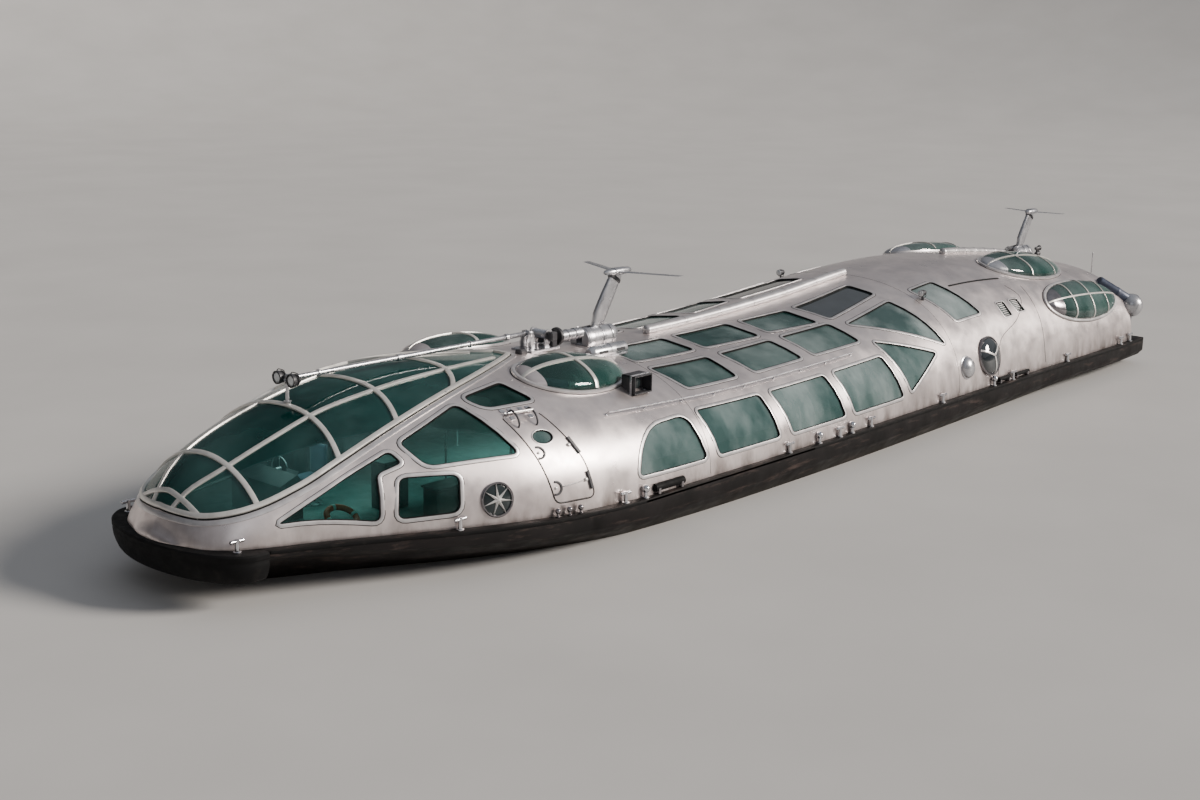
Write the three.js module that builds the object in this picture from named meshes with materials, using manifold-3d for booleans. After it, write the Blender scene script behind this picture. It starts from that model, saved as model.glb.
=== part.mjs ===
// River water bus: a low passenger boat with a rounded silver body on a black hull.
// Millimetres. +X is forward, +Y is port, +Z is up. The origin is amidships on the waterline.

import * as THREE from 'three';
import { mergeVertices } from 'three/addons/utils/BufferGeometryUtils.js';
import Module from 'manifold-3d';

const wasm = await Module();
wasm.setup();

// Driving sizes
const GAP = 0.3;
const BOW_X = 16650;
const BODY_NOSE_X = 16420;
const TRANSOM_X = -15900;
const STERN_X = -16650;
const DECK_Z = 800;
const SHEER_START_X = 7500;
const SHEER_SLOPE = 0.037;
const WALL = 60;
const GLASS = 14;
const SEAMS_X = [5270, -5300, -10200];
const ARC_STEPS = 12;
const DOME_SIDES = 12;

// Body sections. Columns: x, half width at the deck, crown height, roundness of the section
const BODY = [
  [-15900, 3600, 2920, 2.5],
  [-13000, 3580, 3340, 2.4],
  [-10200, 3600, 3600, 2.35],
  [-8000, 3640, 3670, 2.3],
  [-5300, 3710, 3540, 2.3],
  [-2000, 3800, 3240, 2.3],
  [1500, 3850, 3060, 2.3],
  [4500, 3860, 3040, 2.3],
  [7400, 3840, 3210, 2.3],
  [9900, 3650, 3380, 2.3],
  [11600, 3180, 3350, 2.25],
  [13100, 2580, 3130, 2.2],
  [14400, 2080, 2770, 2.2],
  [15300, 1780, 2420, 1.95],
  [15850, 1540, 2100, 1.6],
  [16200, 1160, 1720, 1.25],
  [16420, 560, 1300, 1.15],
];

// Stations where the body and the deck have an edge, from stern to bow
const STATIONS = [
  -15900, -14200, -12200, -10200, -7800, -5300, -2000, 1500, 5270, 7500, 9300, 11000, 12400, 13600,
  14600, 15300, 15750, 16080, 16280, 16420,
];

// Fewer stations do for the inner face of the walls
const INNER_STATIONS = [
  -15900, -12200, -10200, -7800, -5300, -2000, 1500, 5270, 7500, 9300, 11000, 12400, 13600, 14600, 15300, 15750,
];

// Hull sections. Columns: x, keel z, bilge y, bilge z, waterline y, waterline z, lower band y, deck half width
const HULL = [
  [-16600, -150, 2500, -100, 2800, 0, 3470, 3600],
  [-14500, -360, 2650, -250, 2950, 0, 3590, 3710],
  [-11500, -620, 2750, -450, 3150, 0, 3610, 3730],
  [-6000, -1050, 2900, -800, 3450, 0, 3740, 3850],
  [1500, -1120, 3000, -850, 3700, 0, 3890, 4000],
  [7500, -1120, 2600, -800, 3550, 0, 3880, 4000],
  [9700, -1110, 1950, -750, 2950, 0, 3640, 3870],
  [11600, -1080, 1150, -600, 2080, 0, 3000, 3360],
  [13100, -950, 600, -450, 1250, 0, 2200, 2740],
  [14400, -520, 240, -220, 600, 0, 1400, 2230],
  [15400, 120, 150, 160, 400, 260, 1080, 1880],
  [16000, 440, 100, 455, 250, 480, 700, 1450],
  [16250, 540, 60, 548, 150, 560, 420, 1000],
];
const BAND_DEPTH = 540;
const FRAME_HEIGHT = 50;

// Ring of the front canopy. Columns: x, angle up the section in degrees
const CANOPY_RING = [
  [7700, 88], [9500, 74], [10600, 66], [12300, 53], [13700, 41],
  [14500, 34], [15300, 32], [15850, 38], [16110, 50], [16250, 80],
];
const CANOPY_HOOPS = [
  [16030, 16040], [15250, 15240], [13640, 13430], [12270, 11900], [10600, 9900],
];
const CANOPY_RIB = [[16180, 68], [15950, 69], [15240, 68], [13480, 74], [12040, 76], [10140, 80], [8300, 86]];

// Port windows as outlines on the body. Each corner: x, angle up the section in degrees
const WINDOWS = {
  front_triangle: [[15040, 15], [13270, 6], [13150, 29], [12640, 32], [12760, 39], [13570, 32]],
  front_low: [[12950, 6], [12790, 25], [11720, 22], [11830, 6]],
  front_high: [[12510, 42], [10960, 56], [10390, 27], [12240, 28]],
  front_roof: [[10710, 59], [9500, 65], [9230, 52], [10470, 51]],
  side_1: [[7520, 8], [7300, 20], [6750, 30], [5600, 32], [5360, 8]],
  side_2: [[5150, 33], [4920, 8], [2740, 8], [2930, 33]],
  side_3: [[2510, 33], [2240, 8], [110, 8], [380, 33]],
  side_4: [[-20, 33], [-300, 8], [-2500, 8], [-2110, 33]],
  side_5: [[-2270, 42], [-2890, 9], [-4440, 24]],
  roof_1: [[5150, 62], [4840, 46], [3090, 46], [3170, 62]],
  roof_2: [[2680, 62], [2420, 46], [560, 46], [790, 62]],
  roof_3: [[300, 62], [80, 46], [-1830, 45], [-1580, 61]],
  crown_1: [[5120, 83], [5190, 69], [3110, 69], [3110, 83]],
  crown_2: [[2660, 83], [2740, 69], [800, 67], [800, 82]],
  crown_3: [[320, 81], [390, 68], [-1380, 64], [-1300, 79]],
  crown_4: [[-1720, 79], [-1900, 64], [-4380, 69], [-4340, 81]],
  rear_side: [[-2130, 57], [-5020, 27], [-4380, 61]],
  rear_roof: [[-5590, 63], [-6070, 37], [-7380, 37], [-6790, 64]],
  vent_1: [[-8400, 40], [-8440, 31], [-8850, 31], [-8800, 40]],
  vent_2: [[-9130, 40], [-9240, 32], [-9630, 32], [-9560, 40]],
};

const ROUND_WINDOWS = ['front_triangle', 'front_low', 'front_high', 'side_1'];

// Glazed domes on the port side. Columns: centre x, angle, half length, half width, height
const DOMES = {
  dome_fwd: [7430, 66, 1420, 800, 340],
  dome_aft: [-12050, 67, 1950, 800, 330],
  dome_side: [-13150, 33, 2150, 640, 300],
};

// Round portholes on the port side. Columns: centre x, angle, half length, half height, bulge
const PORTHOLES = {
  porthole_fwd: [11080, 9, 310, 310, 70],
  porthole_aft: [-6980, 13.5, 500, 480, 170],
};

// Metal bars over the domes, and the star on the forward porthole
const BAR = { halfWidth: 24, height: 18, skirt: 115 };
const STAR = { rays: 7, first: 0.3, root: 66, tip: 280, low: 30, high: 56 };

// Port door outline, then its hinge line
const DOOR = [[10320, 46], [10030, 22], [9830, 4], [8830, 4], [8960, 20], [9430, 46]];
const DOOR_GAP = 12;
const DOOR_WINDOW = { x: 9700, angle: 33, halfLength: 240, halfHeight: 150 };
const DOOR_HINGE = { angle: 46.2, lift: 42, aftX: 9430, fwdX: 10310, radius: 24 };
const DOOR_SWING = new THREE.Vector3(0.15, 0.85, 0.5).normalize();

// Masts. The strut leans aft from the pivot to the head
const MAST_FWD = { x: 4800, pivotZ: 3330, headX: 4000, headZ: 4610, span: 1450, sweep: 650, podHalf: 450 };
const MAST_AFT = { x: -14900, pivotZ: 3290, headX: -15620, headZ: 4420, span: 1000, sweep: 300, podHalf: 330 };
const MAST_AXLE_R = 45;

// Sections of a mast's strut. Columns: share of its length, half chord, half thickness
const STRUT = [[0, 85, 60], [0.22, 175, 72], [1, 120, 56]];

// Lamp boom that lies forward over the canopy
const BOOM = { pivotX: 6900, z: 3560, tipX: 13350, radius: 45, pinRadius: 28, lampRadius: 130, lampY: 210 };

// Propellers, shafts and rudders
const PROP = { x: -13400, y: 1300, z: -950, radius: 380, hubRadius: 75, shaftRadius: 40, tilt: 0.082 };
const SHAFT_EXIT_X = -9900;
const STRUT_X = -12900;
const RUDDER = { x: -14550, top: -420, bottom: -1250, lead: 130, chord: 560, stockRadius: 45 };
const ENGINE = { x: -12600, y: 1300, length: 1700, width: 850, height: 1000, floorZ: -250 };

// Mesh and solid helpers

function solidOf(geometry, matrix) {
  const bare = geometry.clone();
  bare.deleteAttribute('normal');
  bare.deleteAttribute('uv');
  const merged = mergeVertices(bare, 1e-3);
  if (matrix) merged.applyMatrix4(matrix);
  const index = Uint32Array.from(merged.index.array);
  const vertices = Float32Array.from(merged.attributes.position.array);
  return orientedSolid(vertices, index);
}

function orientedSolid(vertices, index) {
  let volume = 0;
  const corner = [new THREE.Vector3(), new THREE.Vector3(), new THREE.Vector3()];
  for (let i = 0; i < index.length; i += 3) {
    corner.forEach((point, k) => point.fromArray(vertices, index[i + k] * 3));
    volume += corner[0].dot(corner[1].clone().cross(corner[2]));
  }
  if (volume < 0) index.reverse();
  return new wasm.Manifold(new wasm.Mesh({ numProp: 3, vertProperties: vertices, triVerts: index }));
}

function geometryOf(manifold) {
  const mesh = manifold.getMesh();
  const geometry = new THREE.BufferGeometry();
  geometry.setAttribute('position', new THREE.BufferAttribute(Float32Array.from(mesh.vertProperties), 3));
  geometry.setIndex(new THREE.BufferAttribute(Uint32Array.from(mesh.triVerts), 1));
  geometry.computeVertexNormals();
  return geometry;
}

function joined(parts) {
  return parts.reduce((whole, part) => whole.add(part));
}

function cutBy(whole, cutters) {
  return cutters.reduce((rest, cutter) => rest.subtract(cutter), whole);
}

// A closed solid through rings of equally many points, capped at both ends.
// Its quads are split alike on both sides of a mirrored ring.
function loft(rings, flat = (p) => new THREE.Vector2(p.y, p.z)) {
  const count = rings[0].length;
  const vertices = rings.flat().flatMap((p) => [p.x, p.y, p.z]);
  const index = [];
  for (let r = 0; r + 1 < rings.length; r += 1) {
    for (let i = 0; i < count; i += 1) {
      const a = r * count + i;
      const b = r * count + ((i + 1) % count);
      const [c, d] = [a + count, b + count];
      if (i < Math.floor(count / 2)) index.push(a, b, c, b, d, c);
      else index.push(a, b, d, a, d, c);
    }
  }
  const last = (rings.length - 1) * count;
  const clockwise = THREE.ShapeUtils.isClockWise(rings[0].map(flat));
  for (const [start, ring, back] of [[0, rings[0], clockwise], [last, rings.at(-1), !clockwise]]) {
    for (const [a, b, c] of THREE.ShapeUtils.triangulateShape(ring.map(flat), [])) {
      const face = back ? [a, b, c] : [a, c, b];
      index.push(...face.map((i) => i + start));
    }
  }
  return orientedSolid(Float32Array.from(vertices), Uint32Array.from(index));
}

// A closed solid through rings that come back to the first one
function closedLoft(rings) {
  const count = rings[0].length;
  const total = (rings.length - 1) * count;
  const vertices = rings.slice(0, -1).flat().flatMap((p) => [p.x, p.y, p.z]);
  const index = [];
  for (let r = 0; r + 1 < rings.length; r += 1) {
    for (let i = 0; i < count; i += 1) {
      const a = r * count + i;
      const b = r * count + ((i + 1) % count);
      const [c, d] = [(a + count) % total, (b + count) % total];
      index.push(a, b, c, b, d, c);
    }
  }
  return orientedSolid(Float32Array.from(vertices), Uint32Array.from(index));
}

function box(sizeX, sizeY, sizeZ, x, y, z) {
  return solidOf(new THREE.BoxGeometry(sizeX, sizeY, sizeZ), new THREE.Matrix4().makeTranslation(x, y, z));
}

// A round bar from one point to another, with an optional second radius at its far end
function bar(from, to, radius, sides = 12, endRadius = radius) {
  const length = from.distanceTo(to);
  const geometry = new THREE.CylinderGeometry(endRadius, radius, length, sides);
  const turn = new THREE.Quaternion().setFromUnitVectors(
    new THREE.Vector3(0, 1, 0), to.clone().sub(from).normalize());
  const middle = from.clone().add(to).multiplyScalar(0.5);
  return solidOf(geometry, new THREE.Matrix4().compose(middle, turn, new THREE.Vector3(1, 1, 1)));
}

function ball(centre, radius, sides = 12, squash = new THREE.Vector3(1, 1, 1)) {
  const scale = squash.clone().multiplyScalar(radius);
  const matrix = new THREE.Matrix4().compose(centre, new THREE.Quaternion(), scale);
  return solidOf(new THREE.SphereGeometry(1, sides, sides / 2), matrix);
}

function tube(points, radius, steps, closed = false, sides = 8) {
  const section = new THREE.Shape().absarc(0, 0, radius, 0, Math.PI * 2);
  const path = new THREE.CatmullRomCurve3(points, closed);
  const options = { steps, curveSegments: sides, bevelEnabled: false, extrudePath: path };
  return solidOf(new THREE.ExtrudeGeometry(section, options));
}

const vec = (x, y, z) => new THREE.Vector3(x, y, z);

// Radius of a bore of so many flats that a round of a given radius turns in
const ROUND = 16;
const AXLE_ROUND = 24;
const boreRadius = (radius, flats = ROUND) => (radius + GAP) / Math.cos(Math.PI / flats);

// Body surface

function smoothAlong(table, column, x) {
  let i = table.findIndex((row) => row[0] > x) - 1;
  if (i < 0) i = x <= table[0][0] ? 0 : table.length - 2;
  const slope = (k) => {
    const low = table[Math.max(k - 1, 0)];
    const high = table[Math.min(k + 1, table.length - 1)];
    return (high[column] - low[column]) / (high[0] - low[0]);
  };
  const [a, b] = [table[i], table[i + 1]];
  const width = b[0] - a[0];
  const u = THREE.MathUtils.clamp((x - a[0]) / width, 0, 1);
  const v = 1 - u;
  return v * v * (1 + 2 * u) * a[column] + u * u * (3 - 2 * u) * b[column]
    + width * u * v * (v * slope(i) - u * slope(i + 1));
}

function straightAlong(table, column, x) {
  const i = Math.max(0, table.findLastIndex((row, k) => row[0] <= x && k < table.length - 1));
  const [a, b] = [table[i], table[i + 1]];
  return THREE.MathUtils.lerp(a[column], b[column], THREE.MathUtils.clamp((x - a[0]) / (b[0] - a[0]), 0, 1));
}

const deckZ = (x) => DECK_Z + Math.max(0, x - SHEER_START_X) * SHEER_SLOPE;

// A point on the body, at an angle from the port deck edge over the crown, moved out by an offset
function onBody(x, degrees, offset = 0) {
  const angle = THREE.MathUtils.degToRad(degrees);
  const halfWidth = smoothAlong(BODY, 1, x) + offset;
  const height = smoothAlong(BODY, 2, x) - deckZ(x) + offset;
  const power = 2 / smoothAlong(BODY, 3, x);
  const across = Math.cos(angle);
  const up = Math.max(Math.sin(angle), 0);
  return vec(x, halfWidth * Math.sign(across) * Math.abs(across) ** power, deckZ(x) + GAP + height * up ** power);
}

// A local frame on the body: along it, across it and out of it
function bodyFrame(x, degrees) {
  const length = onBody(x + 50, degrees).sub(onBody(x - 50, degrees)).normalize();
  const around = onBody(x, degrees + 2).sub(onBody(x, degrees - 2));
  const normal = around.clone().cross(length).normalize();
  return new THREE.Matrix4().makeBasis(length, normal.clone().cross(length), normal)
    .setPosition(onBody(x, degrees));
}

// The station and angle of the body point nearest a point, seen from the deck's middle line
function anglesOf(point) {
  const halfWidth = smoothAlong(BODY, 1, point.x);
  const height = smoothAlong(BODY, 2, point.x) - deckZ(point.x);
  const power = smoothAlong(BODY, 3, point.x) / 2;
  const across = (Math.abs(point.y) / halfWidth) ** power;
  const up = (Math.max(point.z - deckZ(point.x), 0) / height) ** power;
  return [point.x, THREE.MathUtils.radToDeg(Math.atan2(up, across * Math.sign(point.y)))];
}

// Everything between two stations and inside the body surface moved out by an offset
function bodyVolume(offset, fromX = TRANSOM_X - offset, toX = BODY_NOSE_X + offset, drop = 0, inner = false) {
  const between = (inner ? INNER_STATIONS : STATIONS).filter((x) => x > fromX + 1 && x < toX - 1);
  return loft([fromX, ...between, toX].map((x) => {
    const at = THREE.MathUtils.clamp(x, TRANSOM_X, BODY_NOSE_X);
    const ring = Array.from({ length: ARC_STEPS + 1 }, (_, k) => (
      onBody(at, (180 * k) / ARC_STEPS, offset).setX(x)));
    if (!drop) return ring;
    const foot = (point) => point.clone().setZ(deckZ(x) - drop);
    return [foot(ring[0]), ...ring, foot(ring.at(-1))];
  }));
}

// The space inside the walls moved in by a distance, open below the deck
const innerVolume = (moved, fromX, toX, drop = 300) => bodyVolume(-WALL - moved, fromX, toX, drop, true);

// Corners of an outline cut off, so that they read as round
function roundedOutline(corners, radius = 110, perDegree = 55) {
  const flat = corners.map(([x, degrees]) => new THREE.Vector2(x, degrees * perDegree));
  return flat.flatMap((corner, i) => {
    const before = flat.at(i - 1);
    const after = flat[(i + 1) % flat.length];
    const cut = Math.min(radius, corner.distanceTo(before) / 3, corner.distanceTo(after) / 3);
    const start = corner.clone().add(before.clone().sub(corner).setLength(cut));
    const end = corner.clone().add(after.clone().sub(corner).setLength(cut));
    return [start, end].map((p) => [p.x, p.y / perDegree]);
  });
}

function ellipseOutline(x, degrees, halfLength, halfHeight, points = 14, perDegree = 55) {
  return Array.from({ length: points }, (_, i) => {
    const turn = (i / points) * Math.PI * 2;
    return [x + halfLength * Math.cos(turn), degrees + (halfHeight * Math.sin(turn)) / perDegree];
  });
}

// A cutter through the wall, along the section's own spread or along one direction
function throughWall(outline, reach = 320, direction = null) {
  const place = (side) => outline.map(([x, degrees]) => (direction
    ? onBody(x, degrees).addScaledVector(direction, side * reach)
    : onBody(x, degrees, side * reach)));
  return loft([place(-1), place(1)], (point, i) => new THREE.Vector2(outline[i][0], outline[i][1] * 55));
}

const mirrored = (outline) => outline.map(([x, degrees]) => [x, 180 - degrees]);

// Length of one degree of the section's angle at a station
const degreeLength = (x) => THREE.MathUtils.degToRad(
  (smoothAlong(BODY, 1, x) + smoothAlong(BODY, 2, x) - deckZ(x)) / 2);

// A wall of one width that stands on the body along a line and reaches through it
function strip(line, halfWidth, reach = 250) {
  return loft(line.map(([x, degrees], i) => {
    const [beforeX, beforeDegrees] = line[Math.max(i - 1, 0)];
    const [afterX, afterDegrees] = line[Math.min(i + 1, line.length - 1)];
    const scale = degreeLength(x);
    const aside = new THREE.Vector2(-(afterDegrees - beforeDegrees) * scale, afterX - beforeX).setLength(halfWidth);
    const place = (side, offset) => onBody(x + side * aside.x, degrees + (side * aside.y) / scale, offset);
    return [place(1, reach), place(-1, reach), place(-1, -reach), place(1, -reach)];
  }), (point, i) => new THREE.Vector2([1, -1, -1, 1][i], [1, 1, -1, -1][i]));
}

const bothSides = (outline) => [outline, mirrored(outline)];
const mirrorY = (manifold) => manifold.mirror([0, 1, 0]);

// Domes and portholes are ellipsoids seated in the body surface

function bulge([x, degrees, halfLength, halfWidth, height], grow = 0, sides = DOME_SIDES) {
  const matrix = bodyFrame(x, degrees).scale(vec(halfLength + grow, halfWidth + grow, height + grow))
    .multiply(new THREE.Matrix4().makeRotationX(Math.PI / 2));
  return solidOf(new THREE.SphereGeometry(1, sides, sides / 2), matrix);
}

const body = bodyVolume(0);
const bodyRaised = bodyVolume(GAP);
const cabinSpace = innerVolume(0, TRANSOM_X + WALL, 16050);

// Canopy

function canopyOutline(shrink) {
  const half = CANOPY_RING.map(([x, degrees]) => [x, degrees + shrink]);
  const steps = Array.from({ length: 16 }, (_, i) => (
    THREE.MathUtils.lerp(half[0][0], half.at(-1)[0], 1 - (1 - i / 15) ** 1.8)));
  return steps.map((x) => [x, smoothAlong(half, 1, x)]);
}

function canopyCutter(shrink = 0) {
  const reach = 300;
  const arcs = 8;
  return loft(canopyOutline(shrink).map(([x, start]) => {
    const spread = (k) => start + ((180 - 2 * start) * k) / arcs;
    const outer = Array.from({ length: arcs + 1 }, (_, k) => onBody(x, spread(k), reach));
    const inner = Array.from({ length: arcs + 1 }, (_, k) => onBody(x, spread(arcs - k), -reach));
    return [...outer, ...inner];
  }));
}

function canopyFrame() {
  const ring = Array.from({ length: 13 }, (_, i) => {
    const u = 1 - (1 - i / 12) ** 1.8;
    const x = THREE.MathUtils.lerp(CANOPY_RING[0][0], CANOPY_RING.at(-1)[0], u);
    return [x, smoothAlong(CANOPY_RING, 1, x)];
  });
  const hoops = CANOPY_HOOPS.map(([footX, crownX]) => {
    const foot = smoothAlong(CANOPY_RING, 1, footX);
    return Array.from({ length: 5 }, (_, k) => (
      [footX + (crownX - footX) * Math.sin((Math.PI * k) / 4), foot + ((180 - 2 * foot) * k) / 4]));
  });
  const nose = [[16235, 70], [16255, 90], [16235, 110]];
  const walls = [...bothSides(ring).map((line) => strip(line, 42)), strip(nose, 45),
    ...hoops.map((line) => strip(line, 30)), ...bothSides(CANOPY_RIB).map((line) => strip(line, 26))];
  const layer = bodyVolume(FRAME_HEIGHT).subtract(bodyRaised);
  return layer.intersect(joined(walls));
}

// Body shell with its windows, doors, domes and portholes

const doorCutters = bothSides(DOOR).map((outline, side) => throughWall(
  roundedOutline(outline, 120), 420, DOOR_SWING.clone().setY(side ? -DOOR_SWING.y : DOOR_SWING.y)));
const windowCutters = Object.entries(WINDOWS).flatMap(([name, corners]) => (
  bothSides(ROUND_WINDOWS.includes(name) ? roundedOutline(corners) : corners))).map((outline) => throughWall(outline));
const portDomes = Object.values(DOMES);
const domeOpenings = portDomes.flatMap((row) => {
  const opening = bulge(row, -90, 10);
  return [opening, mirrorY(opening)];
});
const portholeOpenings = Object.values(PORTHOLES).flatMap(([x, degrees, halfLength, halfHeight]) => {
  const place = bodyFrame(x, degrees).scale(vec(halfLength, halfHeight, 1))
    .multiply(new THREE.Matrix4().makeRotationX(Math.PI / 2));
  const opening = solidOf(new THREE.CylinderGeometry(1, 1, 600, DOME_SIDES), place);
  return [opening, mirrorY(opening)];
});

function domeFrame([x, degrees, halfLength, halfWidth, height]) {
  const frame = bodyFrame(x, degrees);
  const along = (i, grow) => {
    const turn = (i / DOME_SIDES) * Math.PI * 2;
    const foot = vec((halfLength + grow) * Math.cos(turn), (halfWidth + grow) * Math.sin(turn), 0).applyMatrix4(frame);
    const [footX, footDegrees] = anglesOf(foot);
    return (lift) => onBody(footX, footDegrees, lift);
  };
  const rings = Array.from({ length: DOME_SIDES + 1 }, (_, i) => {
    const [outer, inner] = [along(i % DOME_SIDES, 70), along(i % DOME_SIDES, 8)];
    return [outer(45), inner(60), inner(-WALL / 2), outer(-WALL / 2)];
  });
  return closedLoft(rings).subtract(bulge([x, degrees, halfLength, halfWidth, height], GAP));
}

// A bar across a dome and, on a crossed frame, one along it that meets it at the top
function domeBars([x, degrees, halfLength, halfWidth, height], crossed) {
  const frame = bodyFrame(x, degrees);
  const bar = (reach, place, skirt) => {
    const steps = DOME_SIDES / 2;
    const rises = Array.from({ length: steps + 1 }, (_, i) => (Math.PI * i) / steps);
    const ring = (rise, drop) => [[1, GAP], [-1, GAP], [-1, BAR.height], [1, BAR.height]].map(([side, lift]) => (
      place((reach + lift) * Math.cos(rise), side * BAR.halfWidth, (height + lift) * Math.sin(rise) - drop)
        .applyMatrix4(frame)));
    const rings = rises.map((rise) => ring(rise, 0));
    if (skirt) rings.push(ring(Math.PI, skirt));
    if (skirt) rings.unshift(ring(0, skirt));
    return loft(rings, (point, i) => new THREE.Vector2([1, -1, -1, 1][i], [1, 1, -1, -1][i]));
  };
  const hoop = bar(halfWidth, (along, across, up) => vec(across, along, up), BAR.skirt);
  return crossed ? hoop.add(bar(halfLength, (along, across, up) => vec(along, across, up), 0)) : hoop;
}

function domeGlass(row) {
  return bulge(row).subtract(bulge(row, -GLASS)).subtract(bodyRaised);
}

// Hinge line of the port door
const hingeAft = onBody(DOOR_HINGE.aftX, DOOR_HINGE.angle, DOOR_HINGE.lift);
const hingeFwd = onBody(DOOR_HINGE.fwdX, DOOR_HINGE.angle, DOOR_HINGE.lift);

// Knuckles on the hinge line, given by their places along it, with leaves down to the skin
function knuckles(places, leafDegrees) {
  return joined(places.flatMap(([start, end]) => {
    const from = hingeAft.clone().lerp(hingeFwd, start);
    const to = hingeAft.clone().lerp(hingeFwd, end);
    const middle = from.clone().lerp(to, 0.5);
    const seat = onBody(middle.x, leafDegrees, -WALL - 10);
    const leaf = bar(middle, seat, 20, 6);
    return [bar(from, to, DOOR_HINGE.radius, 10), leaf];
  }));
}

// Rail along the side of the roof, on brackets
function handrail() {
  const rail = tube([7750, 5500, 3200, 1000, -1090].map((x) => onBody(x, 39, 90)), 22, 6, false, 6);
  const brackets = [7000, 4270, 2070, -20].map((x) => bar(onBody(x, 39, -WALL), onBody(x, 39, 90), 16, 4));
  return joined([rail, ...brackets]);
}

const BODY_KNUCKLES = [[0.1, 0.19], [0.31, 0.4], [0.6, 0.69], [0.81, 0.9]];
const knuckleGap = GAP / hingeAft.distanceTo(hingeFwd);
const DOOR_KNUCKLES = [[0.19 + knuckleGap, 0.31 - knuckleGap], [0.69 + knuckleGap, 0.81 - knuckleGap]];

const bodyShell = (() => {
  const cutters = [cabinSpace, canopyCutter(), ...windowCutters, ...doorCutters, ...domeOpenings,
    ...portholeOpenings];
  const frames = portDomes.flatMap((row) => {
    const frame = domeFrame(row).add(domeBars(row, row === DOMES.dome_fwd));
    return [frame, mirrorY(frame)];
  });
  const hinges = knuckles(BODY_KNUCKLES, DOOR_HINGE.angle + 2);
  return joined([cutBy(body, cutters), ...frames, hinges, mirrorY(hinges), handrail(), mirrorY(handrail())]);
})();

function shellSection(fromX, toX) {
  const slab = box(toX - fromX - GAP, 9000, 9000, (fromX + toX) / 2, 0, 0);
  return bodyShell.intersect(slab);
}

// Doors

function doorPanel() {
  const [top, bottom] = [DOOR_GAP / 55, DOOR_GAP / 55];
  const edges = DOOR.map(([x, degrees]) => {
    const inwards = x > 9500 ? -DOOR_GAP : DOOR_GAP;
    return [x + inwards, degrees + (degrees > 40 ? -top : 0) + (degrees < 5 ? bottom : 0)];
  });
  const panel = body.subtract(cabinSpace)
    .intersect(throughWall(roundedOutline(edges, 120), 420, DOOR_SWING));
  const hole = throughWall(ellipseOutline(DOOR_WINDOW.x, DOOR_WINDOW.angle, DOOR_WINDOW.halfLength,
    DOOR_WINDOW.halfHeight));
  const handle = bar(onBody(9400, 14, 40), onBody(9300, 11, 40), 14, 6);
  const posts = [[9390, 13.6], [9310, 11.4]].map(([x, degrees]) => (
    bar(onBody(x, degrees, -20), onBody(x, degrees, 46), 10, 4)));
  const hinges = knuckles(DOOR_KNUCKLES, DOOR_HINGE.angle - 2.4);
  return joined([panel.subtract(hole), handle, ...posts, hinges]);
}

function doorGlass() {
  const { x, angle, halfLength, halfHeight } = DOOR_WINDOW;
  return bodyVolume(-20, 9000, 10400).subtract(bodyVolume(-20 - GLASS, 8990, 10410)).intersect(
    throughWall(ellipseOutline(x, angle, halfLength - GAP, halfHeight - GAP)));
}

// Glazing behind the window openings

const glazingLayer = innerVolume(GAP, TRANSOM_X + WALL, 16040)
  .subtract(innerVolume(GLASS, TRANSOM_X + WALL - 10, 16045, 320));

function cabinGlazing() {
  const slab = box(7620 + 9900, 9000, 3000, (7620 - 9900) / 2, 0, 1000 + 1500);
  return cutBy(glazingLayer.intersect(slab), [...domeOpenings, ...portholeOpenings]);
}

function frontSideGlazing() {
  const slab = box(15150 - 9100, 4000, 3000, (15150 + 9100) / 2, 2000 + 600, 1000 + 1500);
  const doorway = throughWall(roundedOutline([[10500, 49], [10420, 22], [10350, -20], [8300, -20], [8400, 20],
    [8900, 49]], 60), 420, DOOR_SWING);
  const below = throughWall([[15400, 6], [15400, 27.5], [14500, 32.5], [13700, 39.5], [12300, 50.5],
    [10600, 63], [9000, 68.5], [9000, 9], [11080, 9], [11500, 3]], 200);
  return cutBy(glazingLayer.intersect(slab), [doorway, ...portholeOpenings]).intersect(below);
}

function canopyGlass() {
  return body.subtract(bodyVolume(-GLASS, 7000, 16300, 300)).intersect(canopyCutter(0.3));
}

// Portholes: a bulging lens seated in its opening

function porthole(row) {
  const [x, degrees, halfLength, halfHeight] = row;
  const outside = solidOf(new THREE.BoxGeometry(2000, 2000, 1000),
    bodyFrame(x, degrees).multiply(new THREE.Matrix4().makeTranslation(0, 0, 500)));
  const [rim, depth] = [12, 140];
  const collar = solidOf(new THREE.CylinderGeometry(1, 1, depth + rim, DOME_SIDES),
    bodyFrame(x, degrees).multiply(new THREE.Matrix4().makeTranslation(0, 0, (rim - depth) / 2))
      .scale(vec(halfLength - GAP, halfHeight - GAP, 1))
      .multiply(new THREE.Matrix4().makeRotationX(Math.PI / 2)));
  return bulge(row, -GAP).intersect(outside).add(collar);
}

// A flat round plate with a raised star
function starPorthole([x, degrees, halfLength, halfHeight]) {
  const frame = bodyFrame(x, degrees);
  const rim = STAR.low + 10;
  const depth = 140;
  const plate = solidOf(new THREE.CylinderGeometry(1, 1, depth + rim, DOME_SIDES),
    frame.clone().multiply(new THREE.Matrix4().makeTranslation(0, 0, (rim - depth) / 2))
      .scale(vec(halfLength - GAP, halfHeight - GAP, 1))
      .multiply(new THREE.Matrix4().makeRotationX(Math.PI / 2)));
  const points = Array.from({ length: 2 * STAR.rays }, (_, i) => {
    const turn = STAR.first + (Math.PI * i) / STAR.rays;
    const reach = i % 2 ? STAR.root : STAR.tip;
    return new THREE.Vector2(reach * Math.cos(turn), reach * Math.sin(turn));
  });
  const star = new THREE.ExtrudeGeometry(new THREE.Shape(points),
    { depth: STAR.high - STAR.low, bevelEnabled: false });
  star.translate(0, 0, STAR.low);
  return plate.add(solidOf(star, frame));
}

// Hull

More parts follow.
